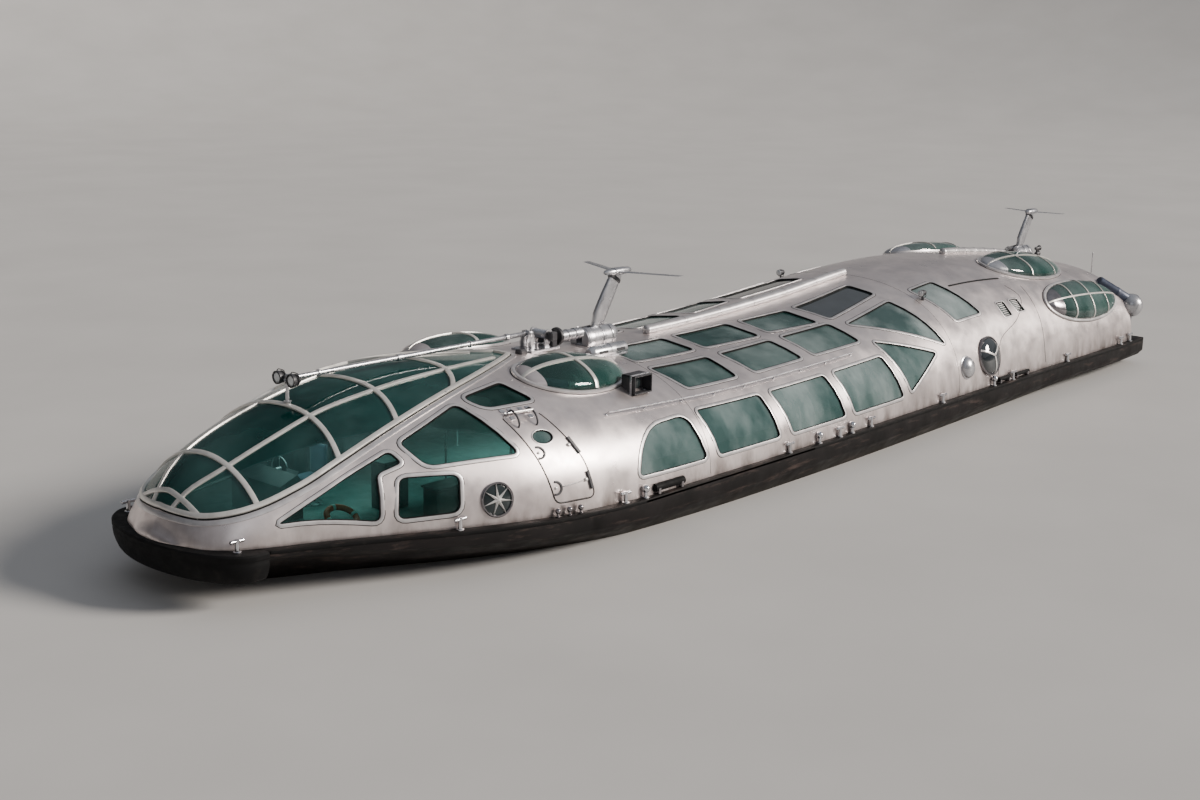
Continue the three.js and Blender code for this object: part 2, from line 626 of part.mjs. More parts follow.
function hullSection(x, grow = 0) {
  const [keelZ, bilgeY, bilgeZ, waterY, waterZ, bandY, deckY] = [1, 2, 3, 4, 5, 6, 7].map((column) => (
    straightAlong(HULL, column, x)));
  const deck = deckZ(x);
  const bandZ = deck - BAND_DEPTH;
  const turnZ = bandZ + 90 + 0.35 * (deckY - bandY);
  const half = [
    vec(x, bilgeY + grow, bilgeZ), vec(x, waterY + grow, waterZ), vec(x, bandY + grow, bandZ),
    vec(x, deckY + grow, turnZ), vec(x, deckY + grow, deck + grow),
  ];
  const keel = vec(x, 0, keelZ - grow);
  return [keel, ...half, ...half.map((p) => p.clone().setY(-p.y)).reverse()];
}

const hullStations = HULL.map((row) => row[0]);

function hullBody() {
  const shell = loft(hullStations.map((x) => hullSection(x)));
  const skeg = loft([
    [vec(-9500, 60, -800), vec(-9500, -60, -800), vec(-9500, -60, -850), vec(-9500, 60, -850)],
    [vec(-6000, 60, -980), vec(-6000, -60, -980), vec(-6000, -60, -1300), vec(-6000, 60, -1300)],
    [vec(9500, 60, -1000), vec(9500, -60, -1000), vec(9500, -60, -1300), vec(9500, 60, -1300)],
    [vec(12500, 60, -900), vec(12500, -60, -900), vec(12500, -60, -1080), vec(12500, 60, -1080)],
  ]);
  const stern = [1, -1].flatMap((side) => shaftCarriers(side));
  const engineRoom = box(ENGINE.length + 900, 2 * (ENGINE.y + ENGINE.width / 2 + 300), 2000,
    ENGINE.x, 0, ENGINE.floorZ + 1000);
  const bollards = [1, -1].flatMap((side) => BOLLARDS_X.map((x) => bollard(x, side)));
  const plates = [1, -1].flatMap((side) => TREAD_PLATES.map((row) => treadPlate(row, side)));
  const solid = cutBy(shell, [engineRoom, ...[1, -1].flatMap((side) => shaftBores(side))]);
  return joined([solid, skeg, ...stern, ...bollards, ...plates]);
}

const BOLLARDS_X = [14950, 8050, -8150, -15000];

// Flat tread plates on the deck, port side. Columns: from x, to x, from y, to y
const TREAD_PLATES = [[900, 2100, 3868, 3982], [-16560, -15940, 350, 1500]];
const TREAD_PLATE_Z = DECK_Z + 6;

function treadPlate([fromX, toX, fromY, toY], side) {
  return box(toX - fromX, toY - fromY, 40, (fromX + toX) / 2, (side * (fromY + toY)) / 2, TREAD_PLATE_Z - 20);
}

function bollard(x, side, inset = 55) {
  const y = side * (straightAlong(HULL, 7, x) - inset);
  const top = deckZ(x) + 190;
  return bar(vec(x, y, deckZ(x) - 40), vec(x, y, top), 36, 4).add(
    bar(vec(x - 110, y, top - 30), vec(x + 110, y, top - 30), 24, 4));
}

const shaftZ = (x) => PROP.z + (x - PROP.x) * PROP.tilt;

function shaftCarriers(side) {
  const y = side * PROP.y;
  const boss = bar(vec(STRUT_X - 120, y, shaftZ(STRUT_X - 120)), vec(STRUT_X + 120, y, shaftZ(STRUT_X + 120)), 85, 12)
    .subtract(bar(vec(STRUT_X - 200, y, shaftZ(STRUT_X - 200)), vec(STRUT_X + 200, y, shaftZ(STRUT_X + 200)),
      boreRadius(PROP.shaftRadius), ROUND));
  const strut = box(160, 36, 420, STRUT_X, y, shaftZ(STRUT_X) + 280);
  return [boss.add(strut)];
}

function shaftBores(side) {
  const y = side * PROP.y;
  const shaft = bar(vec(-11800, y, shaftZ(-11800)), vec(SHAFT_EXIT_X, y, shaftZ(SHAFT_EXIT_X)),
    boreRadius(PROP.shaftRadius), ROUND);
  const stock = bar(vec(RUDDER.x, y, -700), vec(RUDDER.x, y, 200), boreRadius(RUDDER.stockRadius), ROUND);
  return [shaft, stock];
}

// Black fender that wraps the bow, wider than the hull behind it
function bowFender() {
  const levels = [[1, 0, 0], [0.98, -40, -260], [0.8, -280, -540]];
  const rings = levels.map(([scale, set, drop]) => {
    const round = Array.from({ length: 17 }, (_, i) => {
      const turn = Math.PI * (i / 16) - Math.PI / 2;
      const x = 15600 + (BOW_X + set - 15600) * Math.cos(turn);
      return vec(x, 2050 * scale * Math.sin(turn), deckZ(x) + drop);
    });
    const corners = [1, -1].map((side) => vec(15390, side * 2030 * scale, deckZ(15390) + drop));
    return [...round, ...corners];
  });
  const hullRaised = loft([...HULL.map((row) => row[0]), 16250 + GAP].map((x) => hullSection(x, GAP)));
  const fender = loft(rings, (point) => new THREE.Vector2(point.x, point.y)).subtract(hullRaised);
  return joined([fender, bollard(15830, 1, -210), bollard(15830, -1, -210)]);
}

// Propellers, shafts and rudders

function propeller(side) {
  const y = side * PROP.y;
  const along = (x) => vec(x, y, shaftZ(x));
  const shaft = bar(along(PROP.x + 50), along(SHAFT_EXIT_X - 60), PROP.shaftRadius, 12);
  const hub = bar(along(PROP.x - 150), along(PROP.x + 120), PROP.hubRadius * 0.7, 12, PROP.hubRadius);
  const leaf = new THREE.Shape();
  leaf.moveTo(-50, 30);
  leaf.quadraticCurveTo(-190, PROP.radius * 0.7, 0, PROP.radius);
  leaf.quadraticCurveTo(190, PROP.radius * 0.7, 50, 30);
  const blade = new THREE.ExtrudeGeometry(leaf, { depth: 18, bevelEnabled: false, curveSegments: 2 });
  blade.translate(0, 0, -9);
  const blades = [0, 1, 2, 3].map((k) => {
    const turn = new THREE.Matrix4().makeRotationX((k * Math.PI) / 2);
    const pitch = new THREE.Matrix4().makeRotationY(side * THREE.MathUtils.degToRad(60));
    const stand = new THREE.Matrix4().makeRotationX(Math.PI / 2);
    return solidOf(blade, new THREE.Matrix4().makeTranslation(PROP.x, y, PROP.z).multiply(turn)
      .multiply(stand).multiply(pitch));
  });
  return joined([shaft, hub, ...blades]);
}

function rudder(side) {
  const plan = new THREE.Shape();
  plan.moveTo(RUDDER.lead, 0);
  plan.quadraticCurveTo(RUDDER.lead, 45, 20, 45);
  plan.lineTo(RUDDER.lead - RUDDER.chord, 8);
  plan.lineTo(RUDDER.lead - RUDDER.chord, -8);
  plan.lineTo(20, -45);
  plan.quadraticCurveTo(RUDDER.lead, -45, RUDDER.lead, 0);
  const depth = RUDDER.top - RUDDER.bottom;
  const blade = new THREE.ExtrudeGeometry(plan, { depth, bevelEnabled: false, curveSegments: 4 });
  const y = side * PROP.y;
  return solidOf(blade, new THREE.Matrix4().makeTranslation(RUDDER.x, y, RUDDER.bottom))
    .add(bar(vec(RUDDER.x, y, RUDDER.top - 60), vec(RUDDER.x, y, 150), RUDDER.stockRadius, 12));
}

// Masts

// The saddle on the roof: a drum with a round aft end and two lugs that hold the mast's axle
function mastBase(mast, length) {
  const drumZ = mast.pivotZ - 120;
  const drum = bar(vec(mast.x + length / 2, 0, drumZ), vec(mast.x - length / 2, 0, drumZ), 230, 16);
  const end = ball(vec(mast.x - length / 2, 0, drumZ), 230);
  const slot = box(length, 170, 400, mast.x + 120 - length / 2, 0, mast.pivotZ + 60);
  const lugs = [1, -1].map((side) => bar(vec(mast.x, side * 85, mast.pivotZ), vec(mast.x, side * 145, mast.pivotZ),
    110, 16));
  const axle = bar(vec(mast.x, -140, mast.pivotZ), vec(mast.x, 140, mast.pivotZ), MAST_AXLE_R, AXLE_ROUND);
  return joined([cutBy(drum.add(end), [slot]), ...lugs, axle]);
}

function wing(mast) {
  const plan = new THREE.Shape();
  plan.moveTo(150, 0);
  plan.lineTo(150 - mast.sweep * 0.9, mast.span);
  plan.lineTo(-mast.sweep, mast.span);
  plan.lineTo(-110, 0);
  plan.lineTo(-mast.sweep, -mast.span);
  plan.lineTo(150 - mast.sweep * 0.9, -mast.span);
  return new THREE.ExtrudeGeometry(plan, { depth: 26, bevelEnabled: false });
}

function mastStrut(mast) {
  const pivot = vec(mast.x, 0, mast.pivotZ);
  const head = vec(mast.headX, 0, mast.headZ);
  const eye = bar(pivot.clone().setY(-75), pivot.clone().setY(75), 95, 16);
  const reach = head.clone().sub(pivot);
  const chord = vec(reach.z, 0, -reach.x).normalize();
  const corners = Array.from({ length: 8 }, (_, i) => (Math.PI * (2 * i + 1)) / 8);
  const rings = STRUT.map(([share, halfChord, halfThick]) => corners.map((turn) => (
    pivot.clone().addScaledVector(reach, share).addScaledVector(chord, halfChord * Math.cos(turn))
      .add(vec(0, halfThick * Math.sin(turn), 0)))));
  const strut = loft(rings, (point, i) => new THREE.Vector2(Math.cos(corners[i]), Math.sin(corners[i])));
  const pod = ball(head, 120, 10, vec(mast.podHalf / 120, 1, 0.85));
  const blades = solidOf(wing(mast), new THREE.Matrix4().makeTranslation(head.x, 0, head.z - 13));
  const axleHole = bar(vec(mast.x, -200, mast.pivotZ), vec(mast.x, 200, mast.pivotZ),
    boreRadius(MAST_AXLE_R, AXLE_ROUND), AXLE_ROUND);
  return joined([eye, strut, pod, blades]).subtract(axleHole);
}

// Roof equipment

const crown = (x) => smoothAlong(BODY, 2, x);

function roofDuct(fromX, toX, radius, lift) {
  const points = [0, 0.25, 0.5, 0.75, 1].map((u) => {
    const x = THREE.MathUtils.lerp(fromX, toX, u);
    return vec(x, 0, crown(x) + lift);
  });
  return tube(points, radius, 4, false, 8).subtract(bodyRaised);
}

function boomPivot() {
  const { pivotX, z } = BOOM;
  const plate = box(900, 620, 60, pivotX - 250, 0, crown(pivotX) + 20);
  const cheeks = [1, -1].map((side) => box(260, 30, z - crown(pivotX) + 60, pivotX, side * 95,
    (z + crown(pivotX) + 60) / 2));
  const pin = bar(vec(pivotX, -105, z), vec(pivotX, 105, z), BOOM.pinRadius, ROUND);
  const winch = bar(vec(pivotX - 420, -230, z - 60), vec(pivotX - 420, 230, z - 60), 120, 16);
  const winchLegs = [1, -1].map((side) => box(200, 40, 300, pivotX - 420, side * 190, z - 210));
  return joined([plate, ...cheeks, pin, winch, ...winchLegs]).subtract(bodyRaised);
}

function lampBoom() {
  const { pivotX, z, tipX, radius, lampRadius, lampY } = BOOM;
  const pole = bar(vec(pivotX, 0, z), vec(tipX, 0, z), radius + 8, 12, radius);
  const eye = bar(vec(pivotX, -60, z), vec(pivotX, 60, z), 62, 16);
  const collar = bar(vec(10500, 0, z), vec(10650, 0, z), radius + 26, 12);
  const crossbar = bar(vec(tipX, -lampY, z), vec(tipX, lampY, z), 34, 10);
  const lamps = [1, -1].map((side) => bar(vec(tipX - 90, side * lampY, z), vec(tipX + 120, side * lampY, z),
    lampRadius * 0.8, 10, lampRadius));
  const hole = bar(vec(pivotX, -90, z), vec(pivotX, 90, z), boreRadius(BOOM.pinRadius), ROUND);
  return joined([pole, eye, collar, crossbar, ...lamps]).subtract(hole);
}

function boomRest() {
  const x = CANOPY_HOOPS[2][1];
  const foot = crown(x);
  const top = BOOM.z - BOOM.radius - 6;
  const post = bar(vec(x - 60, 0, foot), vec(x - 60, 0, top), 38, 12);
  const cradle = box(90, 130, 30, x - 60, 0, top - 15);
  return post.add(cradle).subtract(bodyVolume(FRAME_HEIGHT + GAP));
}

function sideLamp(side) {
  const seat = onBody(6330, 50);
  const shell = box(560, 380, 400, 6330, side * (seat.y + 20), seat.z + 150);
  const mouth = box(400, 200, 260, 6330, side * (seat.y + 160), seat.z + 175);
  return shell.subtract(mouth).subtract(bodyRaised);
}

function floodlight(side) {
  const seat = onBody(-5560, 55);
  const y = side * seat.y;
  return joined([
    bar(vec(-5560, y, seat.z - 80), vec(-5560, y, seat.z + 170), 22, 8),
    bar(vec(-5640, y, seat.z + 170), vec(-5470, y, seat.z + 170), 90, 12, 70),
  ]).subtract(bodyRaised);
}

function hornPost() {
  const [x, y] = [-15700, 260];
  const top = crown(x);
  return joined([
    bar(vec(x, y, top - 60), vec(x, y, top + 380), 35, 8),
    bar(vec(x + 120, y, top + 330), vec(x - 140, y, top + 330), 45, 12, 85),
    bar(vec(x + 60, y, top + 160), vec(x - 80, y, top + 160), 60, 12, 95),
  ]).subtract(bodyRaised);
}

function sternPod(side) {
  const solid = joined([
    bar(vec(-15300, 2560, 2560), vec(-16150, 3200, 1950), 175, 10),
    ball(vec(-16200, 3270, 1800), 360, 10),
    bar(vec(-16250, 3250, deckZ(0) + GAP), vec(-16250, 3250, 1600), 60, 8),
  ]).subtract(bodyRaised);
  return side > 0 ? solid : mirrorY(solid);
}

function sideBoss(side) {
  const boss = bulge([-5720, 11.5, 270, 280, 200], 0, 12).subtract(bodyRaised);
  return side > 0 ? boss : mirrorY(boss);
}

function flagstaff() {
  return bar(vec(-16400, 1800, DECK_Z + GAP), vec(-16400, 1800, 3250), 22, 8, 12);
}

// Interior that shows through the glass

function helmConsole() {
  const x = 13650;
  const desk = new THREE.Shape();
  desk.moveTo(0, 0);
  desk.lineTo(520, 0);
  desk.lineTo(520, 700);
  desk.lineTo(120, 860);
  desk.lineTo(0, 720);
  const geometry = new THREE.ExtrudeGeometry(desk, { depth: 1500, bevelEnabled: false });
  const place = new THREE.Matrix4().makeTranslation(x, 750, deckZ(x + 520) + GAP)
    .multiply(new THREE.Matrix4().makeRotationX(Math.PI / 2));
  return solidOf(geometry, place);
}

function helmSeat() {
  const [x, footRadius] = [12900, 240];
  const floor = deckZ(x + footRadius) + GAP;
  return joined([
    bar(vec(x, 0, floor), vec(x, 0, floor + 30), footRadius, 10),
    bar(vec(x, 0, floor), vec(x, 0, floor + 480), 50, 12),
    box(480, 500, 110, x, 0, floor + 520),
    box(110, 480, 620, x - 240, 0, floor + 860),
  ]);
}

// Rows of seats on legs, one row for each side of the aisle
function seatRow(side) {
  const rows = [];
  const y = side * 2350;
  for (let x = -3800; x <= 4400; x += 2600) {
    rows.push(box(460, 1400, 90, x, y, 1230));
    rows.push(box(90, 1400, 560, x - 230, y, 1490));
    rows.push(box(60, 60, 420, x, y, 1010));
  }
  const rail = box(9400, 60, 60, 200, y, DECK_Z + GAP + 30);
  return joined([rail, ...rows]);
}

function lifebuoy() {
  const [x, radius, thickness] = [13500, 290, 65];
  const ring = new THREE.TorusGeometry(radius, thickness, 6, 12);
  const lowest = thickness * Math.sin(Math.PI / 3);
  const place = new THREE.Matrix4().makeTranslation(x, 1700, deckZ(x + radius + thickness / 2) + lowest + GAP);
  return solidOf(ring, place);
}

function engine(side) {
  return box(ENGINE.length, ENGINE.width, ENGINE.height, ENGINE.x, side * ENGINE.y,
    ENGINE.floorZ + GAP + ENGINE.height / 2);
}

// Colours
const SILVER = { color: 0xb9b3b8, roughness: 0.35, metalness: 0.9 };
const BLACK = { color: 0x101012, roughness: 0.6, metalness: 0.1 };
const TEAL_GLASS = { color: 0x2f6a66, roughness: 0.1, metalness: 0.1 };
const CREAM = { color: 0xd8cfc0, roughness: 0.4, metalness: 0.3 };
const STEEL = { color: 0x8d9097, roughness: 0.3, metalness: 1 };
const DARK = { color: 0x26262a, roughness: 0.5, metalness: 0.3 };
const BRONZE = { color: 0x8c6a35, roughness: 0.35, metalness: 1 };
const SEAT = { color: 0x3a4a5a, roughness: 0.8, metalness: 0 };
const ORANGE = { color: 0xb8401c, roughness: 0.6, metalness: 0 };
const ENGINE_PAINT = { color: 0x5c6a60, roughness: 0.6, metalness: 0.3 };

const boat = new THREE.Group();

function addNode(name, manifold, look) {
  const mesh = new THREE.Mesh(geometryOf(manifold), new THREE.MeshStandardMaterial(look));
  mesh.name = name;
  boat.add(mesh);
}

function addPair(name, make, look) {
  addNode(`${name}_port`, make(1), look);
  addNode(`${name}_stbd`, make(-1), look);
}

const onSide = (manifold) => (side) => (side > 0 ? manifold : mirrorY(manifold));

addNode('hull', hullBody(), BLACK);
addNode('bow_fender', bowFender(), BLACK);
addNode('body_front', shellSection(SEAMS_X[0], BODY_NOSE_X + 500), SILVER);
addNode('body_middle', shellSection(SEAMS_X[1], SEAMS_X[0]), SILVER);
addNode('body_rear', shellSection(SEAMS_X[2], SEAMS_X[1]), SILVER);
addNode('body_tail', shellSection(TRANSOM_X - 500, SEAMS_X[2]), SILVER);
addNode('canopy_frame', canopyFrame(), CREAM);
addNode('canopy_glass', canopyGlass(), TEAL_GLASS);
addNode('cabin_glass', cabinGlazing(), TEAL_GLASS);
addPair('front_side_glass', onSide(frontSideGlazing()), TEAL_GLASS);
for (const [name, row] of Object.entries(DOMES)) addPair(name, onSide(domeGlass(row)), TEAL_GLASS);
addPair('porthole_fwd', onSide(starPorthole(PORTHOLES.porthole_fwd)), STEEL);
addPair('porthole_aft', onSide(porthole(PORTHOLES.porthole_aft)), TEAL_GLASS);
addPair('door', onSide(doorPanel()), SILVER);
addPair('door_glass', onSide(doorGlass()), TEAL_GLASS);
addPair('side_boss', sideBoss, STEEL);
addPair('side_lamp', sideLamp, DARK);
addPair('floodlight', floodlight, DARK);
addPair('stern_pod', sternPod, STEEL);
addPair('propeller', propeller, BRONZE);
addPair('rudder', rudder, BLACK);
addPair('engine', engine, ENGINE_PAINT);
addPair('seats', seatRow, SEAT);
addNode('roof_duct_fwd', roofDuct(2900, -5200, 120, 70), SILVER);
addNode('roof_duct_aft', roofDuct(-10400, -13950, 120, 60), SILVER);
addNode('mast_fwd_base', mastBase(MAST_FWD, 900).subtract(bodyRaised), STEEL);
addNode('mast_aft_base', mastBase(MAST_AFT, 800).subtract(bodyRaised), STEEL);
addNode('mast_fwd', mastStrut(MAST_FWD), STEEL);
addNode('mast_aft', mastStrut(MAST_AFT), STEEL);
addNode('boom_pivot', boomPivot(), STEEL);
addNode('boom_rest', boomRest(), STEEL);
addNode('lamp_boom', lampBoom(), STEEL);
addNode('horn_post', hornPost(), DARK);
addNode('flagstaff', flagstaff(), STEEL);
addNode('helm_console', helmConsole(), DARK);
addNode('helm_seat', helmSeat(), DARK);
addNode('lifebuoy', lifebuoy(), ORANGE);

export default boat;
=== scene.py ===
"""Looks for a river water bus: a rounded silver body on a black hull.

Metres. +X is forward, +Y is port, +Z is up, and the origin is amidships on the waterline.
"""

import itertools
import math

import bpy
import numpy as np
from mathutils import Matrix, Vector
from mathutils.geometry import delaunay_2d_cdt


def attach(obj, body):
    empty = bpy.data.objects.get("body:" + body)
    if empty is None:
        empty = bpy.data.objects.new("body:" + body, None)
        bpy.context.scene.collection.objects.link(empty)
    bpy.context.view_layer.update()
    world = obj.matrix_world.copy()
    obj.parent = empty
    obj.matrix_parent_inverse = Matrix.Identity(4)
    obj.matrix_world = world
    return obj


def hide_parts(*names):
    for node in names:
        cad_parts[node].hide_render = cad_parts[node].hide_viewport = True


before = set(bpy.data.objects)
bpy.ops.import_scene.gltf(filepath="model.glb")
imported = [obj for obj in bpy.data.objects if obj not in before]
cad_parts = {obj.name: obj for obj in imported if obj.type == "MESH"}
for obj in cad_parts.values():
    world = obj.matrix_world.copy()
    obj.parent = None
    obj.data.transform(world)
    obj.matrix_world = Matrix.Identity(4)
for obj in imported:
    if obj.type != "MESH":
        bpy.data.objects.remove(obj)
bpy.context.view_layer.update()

X, Y, Z = (1, 0, 0), (0, 1, 0), (0, 0, 1)

# Camera, solved from the photo
CAMERA_PLACE = Vector((32.27, 24.76, 10.54))
CAMERA_YAW = 48.27
CAMERA_PITCH = 13.40
CAMERA_ROLL = 1.02
FOCAL_MM = 50.0
SENSOR_MM = 36.0
SIGHT_END = 500


def camera():
    yaw, pitch, roll = (math.radians(a) for a in (CAMERA_YAW, CAMERA_PITCH, CAMERA_ROLL))
    ahead = Vector((-math.sin(yaw) * math.cos(pitch), -math.cos(yaw) * math.cos(pitch), -math.sin(pitch)))
    right = ahead.cross(Vector(Z)).normalized()
    up = right.cross(ahead)
    turned_right = math.cos(roll) * right + math.sin(roll) * up
    turned_up = -math.sin(roll) * right + math.cos(roll) * up
    data = bpy.data.cameras.new("camera")
    data.sensor_width, data.lens, data.clip_end = SENSOR_MM, FOCAL_MM, SIGHT_END
    holder = bpy.data.objects.new("camera", data)
    bpy.context.scene.collection.objects.link(holder)
    axes = Matrix((turned_right, turned_up, -ahead)).transposed().to_4x4()
    holder.matrix_world = Matrix.Translation(CAMERA_PLACE) @ axes
    bpy.context.scene.camera = holder


camera()

# Body sections. Columns: x, half width at the deck, crown height, roundness of the section
BODY = np.array([
    (-15.90, 3.50, 2.92, 2.50), (-13.00, 3.58, 3.34, 2.40), (-10.20, 3.60, 3.60, 2.35), (-8.00, 3.64, 3.67, 2.30),
    (-5.30, 3.71, 3.54, 2.30), (-2.00, 3.80, 3.24, 2.30), (1.50, 3.85, 3.06, 2.30), (4.50, 3.86, 3.04, 2.30),
    (7.40, 3.84, 3.21, 2.30), (9.90, 3.65, 3.38, 2.30), (11.60, 3.18, 3.35, 2.25), (13.10, 2.58, 3.13, 2.20),
    (14.40, 2.08, 2.77, 2.20), (15.30, 1.78, 2.42, 1.95), (15.85, 1.54, 2.10, 1.60), (16.20, 1.16, 1.72, 1.38),
    (16.42, 0.56, 1.30, 1.34),
])
TRANSOM_X = -15.90
NOSE_X = 16.42
DECK_Z = 0.80
SHEER_START_X = 7.5
SHEER_SLOPE = 0.037
WALL = 0.06
GAP = 0.0003
SEAMS_X = (5.27, -5.30, -10.20)

# Hull sections. Columns: x, keel z, bilge y, bilge z, waterline y, waterline z, lower band y, deck half width
HULL = np.array([
    (-16.60, -0.15, 2.50, -0.10, 2.80, 0.00, 3.47, 3.60),
    (-14.50, -0.36, 2.65, -0.25, 2.95, 0.00, 3.59, 3.71),
    (-11.50, -0.62, 2.75, -0.45, 3.15, 0.00, 3.61, 3.73),
    (-6.00, -1.05, 2.90, -0.80, 3.45, 0.00, 3.74, 3.85),
    (1.50, -1.12, 3.00, -0.85, 3.70, 0.00, 3.89, 4.00),
    (7.50, -1.12, 2.60, -0.80, 3.55, 0.00, 3.88, 4.00),
    (9.70, -1.11, 1.95, -0.75, 2.95, 0.00, 3.64, 3.87),
    (11.60, -1.08, 1.15, -0.60, 2.08, 0.00, 3.00, 3.36),
    (13.10, -0.95, 0.60, -0.45, 1.25, 0.00, 2.20, 2.74),
    (14.40, -0.52, 0.24, -0.22, 0.60, 0.00, 1.40, 2.23),
    (15.40, 0.12, 0.15, 0.16, 0.40, 0.26, 1.08, 1.88),
    (16.00, 0.44, 0.10, 0.455, 0.25, 0.48, 0.70, 1.45),
    (16.25, 0.54, 0.06, 0.548, 0.15, 0.56, 0.42, 1.00),
])
BAND_DEPTH = 0.54
WIDEST = 4.0


def along(table, column, x):
    """A column between a table's rows on one smooth curve, at one x or at many."""
    xs, values = table[:, 0], table[:, column]
    slope = np.gradient(values, xs)
    slope[1:-1] = (values[2:] - values[:-2]) / (xs[2:] - xs[:-2])
    i = np.clip(np.searchsorted(xs, x, side="right") - 1, 0, len(xs) - 2)
    width = xs[i + 1] - xs[i]
    u = np.clip((x - xs[i]) / width, 0, 1)
    v = 1 - u
    bend = width * u * v * (v * slope[i] - u * slope[i + 1])
    return v * v * (1 + 2 * u) * values[i] + u * u * (3 - 2 * u) * values[i + 1] + bend


def deck_z(x):
    return DECK_Z + np.maximum(0, np.asarray(x, float) - SHEER_START_X) * SHEER_SLOPE


def deck_at(x):
    return float(deck_z(x))


def deck_edge(x):
    return float(along(HULL, 7, x))


def crown_z(x):
    return float(along(BODY, 2, x))


def on_body(x, degrees):
    """Points on the body at angles from the port deck edge over the crown to the starboard one."""
    x, degrees = np.broadcast_arrays(np.asarray(x, float), np.asarray(degrees, float))
    height = along(BODY, 2, x) - deck_z(x)
    power = 2 / along(BODY, 3, x)
    across, up = np.cos(np.radians(degrees)), np.maximum(np.sin(np.radians(degrees)), 0)
    y = along(BODY, 1, x) * np.sign(across) * np.abs(across) ** power
    return np.stack([x, y, deck_z(x) + GAP + height * up ** power], -1)


def unit(v):
    return v / np.maximum(np.linalg.norm(v, axis=-1, keepdims=True), 1e-12)


def out_of_body(x, degrees):
    """The body's outward normals."""
    ahead = on_body(np.asarray(x) + 0.02, degrees) - on_body(np.asarray(x) - 0.02, degrees)
    around = on_body(x, np.asarray(degrees) + 0.4) - on_body(x, np.asarray(degrees) - 0.4)
    return unit(np.cross(around, ahead))


def lifted(x, degrees, lift):
    return on_body(x, degrees) + np.asarray(lift)[..., None] * out_of_body(x, degrees)


def degree_length(x):
    """Metres round the section for one degree of its angle, on average."""
    return np.radians((along(BODY, 1, x) + along(BODY, 2, x) - deck_z(x)) / 2)


def angle_of(point):
    """The angle of the body point that lies on the line from the deck's middle through a point."""
    x = point[0]
    power = along(BODY, 3, x) / 2
    across = (abs(point[1]) / along(BODY, 1, x)) ** power
    up = (max(point[2] - deck_at(x), 0) / (along(BODY, 2, x) - deck_z(x))) ** power
    return math.degrees(math.atan2(up, across * math.copysign(1, point[1])))


def frame_on_body(x, degrees):
    """Place, forward, across and outward directions on the body."""
    place, out = on_body(x, degrees), out_of_body(x, degrees)
    ahead = unit(on_body(x + 0.05, degrees) - on_body(x - 0.05, degrees))
    return place, ahead, np.cross(out, ahead), out


# Meshes: a part is its points and its faces

SHARP = 35  # degrees between faces from which an edge shades as one
SIDES = (("port", 1, lambda outline: outline),
         ("stbd", -1, lambda outline: np.stack([outline[:, 0], 180 - outline[:, 1]], -1)))


def add_object(name, vertices, faces, looks, body="boat", normals=None, slots=None):
    """A mesh piece that rides on a body. Normals are given for each vertex, or left to the faces."""
    mesh = bpy.data.meshes.new(name)
    mesh.from_pydata([tuple(v) for v in np.asarray(vertices, float)], [], [tuple(f) for f in faces])
    mesh.validate()
    mesh.update()
    for look in looks:
        mesh.materials.append(look)
    if slots is not None:
        mesh.polygons.foreach_set("material_index", slots)
    mesh.polygons.foreach_set("use_smooth", [True] * len(mesh.polygons))
    if normals is not None:
        mesh.normals_split_custom_set_from_vertices([tuple(n) for n in normals])
    made = bpy.data.objects.new(name, mesh)
    bpy.context.scene.collection.objects.link(made)
    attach(made, body)
    return made


def finished(made, nodes=None, sharp=SHARP):
    """Gives a piece its sharp edges and hides the CAD nodes that it replaces."""
    if sharp:
        made.data.set_sharp_from_angle(angle=math.radians(sharp))
    if nodes is not None:
        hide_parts(*nodes)
    return made


def merged(parts):
    """Several parts as one."""
    vertices, faces, count = [], [], 0
    for points, cells in parts:
        vertices.append(np.asarray(points, float))
        faces += [tuple(i + count for i in cell) for cell in cells]
        count += len(points)
    return np.concatenate(vertices), faces


def add_piece(name, parts, look, nodes=None, body="boat", sharp=SHARP):
    return finished(add_object(name, *merged(parts), [look], body), nodes, sharp)


def mirrored(parts):
    return [(np.asarray(p) * (1, -1, 1), [tuple(reversed(f)) for f in cells]) for p, cells in parts]


def on_both(parts):
    """Parts and their copies on the other side of the boat."""
    return list(parts) + mirrored(parts)


def add_pair(name, parts, look, nodes=None, body="boat", sharp=SHARP):
    """A piece to port and its mirror image to starboard. {} in a name takes the side."""
    for side, own in (("port", parts), ("stbd", mirrored(parts))):
        own_nodes = None if nodes is None else [node.format(side) for node in nodes]
        add_piece(name.format(side), own, look, own_nodes, body.format(side), sharp)


def outward(part):
    """A closed part with its faces turned outward."""
    points, faces = part
    volume = sum(float(np.dot(points[f[0]], np.cross(points[f[i]], points[f[i + 1]])))
                 for f in faces for i in range(1, len(f) - 1))
    return (points, faces) if volume > 0 else (points, [tuple(reversed(f)) for f in faces])


def net_faces(rows, width, caps=True, ring=False, loop=True):
    """Quads between rows of points. A ring joins the last row to the first, and a loop closes each row."""
    faces = []
    for i in range(rows if ring else rows - 1):
        j = (i + 1) % rows
        faces += [(i * width + k, i * width + (k + 1) % width, j * width + (k + 1) % width, j * width + k)
                  for k in range(width if loop else width - 1)]
    if caps and not ring:
        faces += [tuple(reversed(range(width))), tuple(range((rows - 1) * width, rows * width))]
    return faces


def solid(rows):
    """A closed part through rows of points."""
    rows = np.asarray(rows, float)
    return outward((rows.reshape(-1, 3), net_faces(*rows.shape[:2])))


def prism(near, far):
    """A flat shape and its copy, joined."""
    n = len(near)
    cells = [tuple(range(n)), tuple(reversed(range(n, 2 * n)))]
    return outward((np.concatenate([near, far]), cells + [(k, k + n, (k + 1) % n + n, (k + 1) % n) for k in range(n)]))


def open_edges(faces):
    edges = dict.fromkeys((f[k], f[(k + 1) % len(f)]) for f in faces for k in range(len(f)))
    return [(i, j) for i, j in edges if (j, i) not in edges]


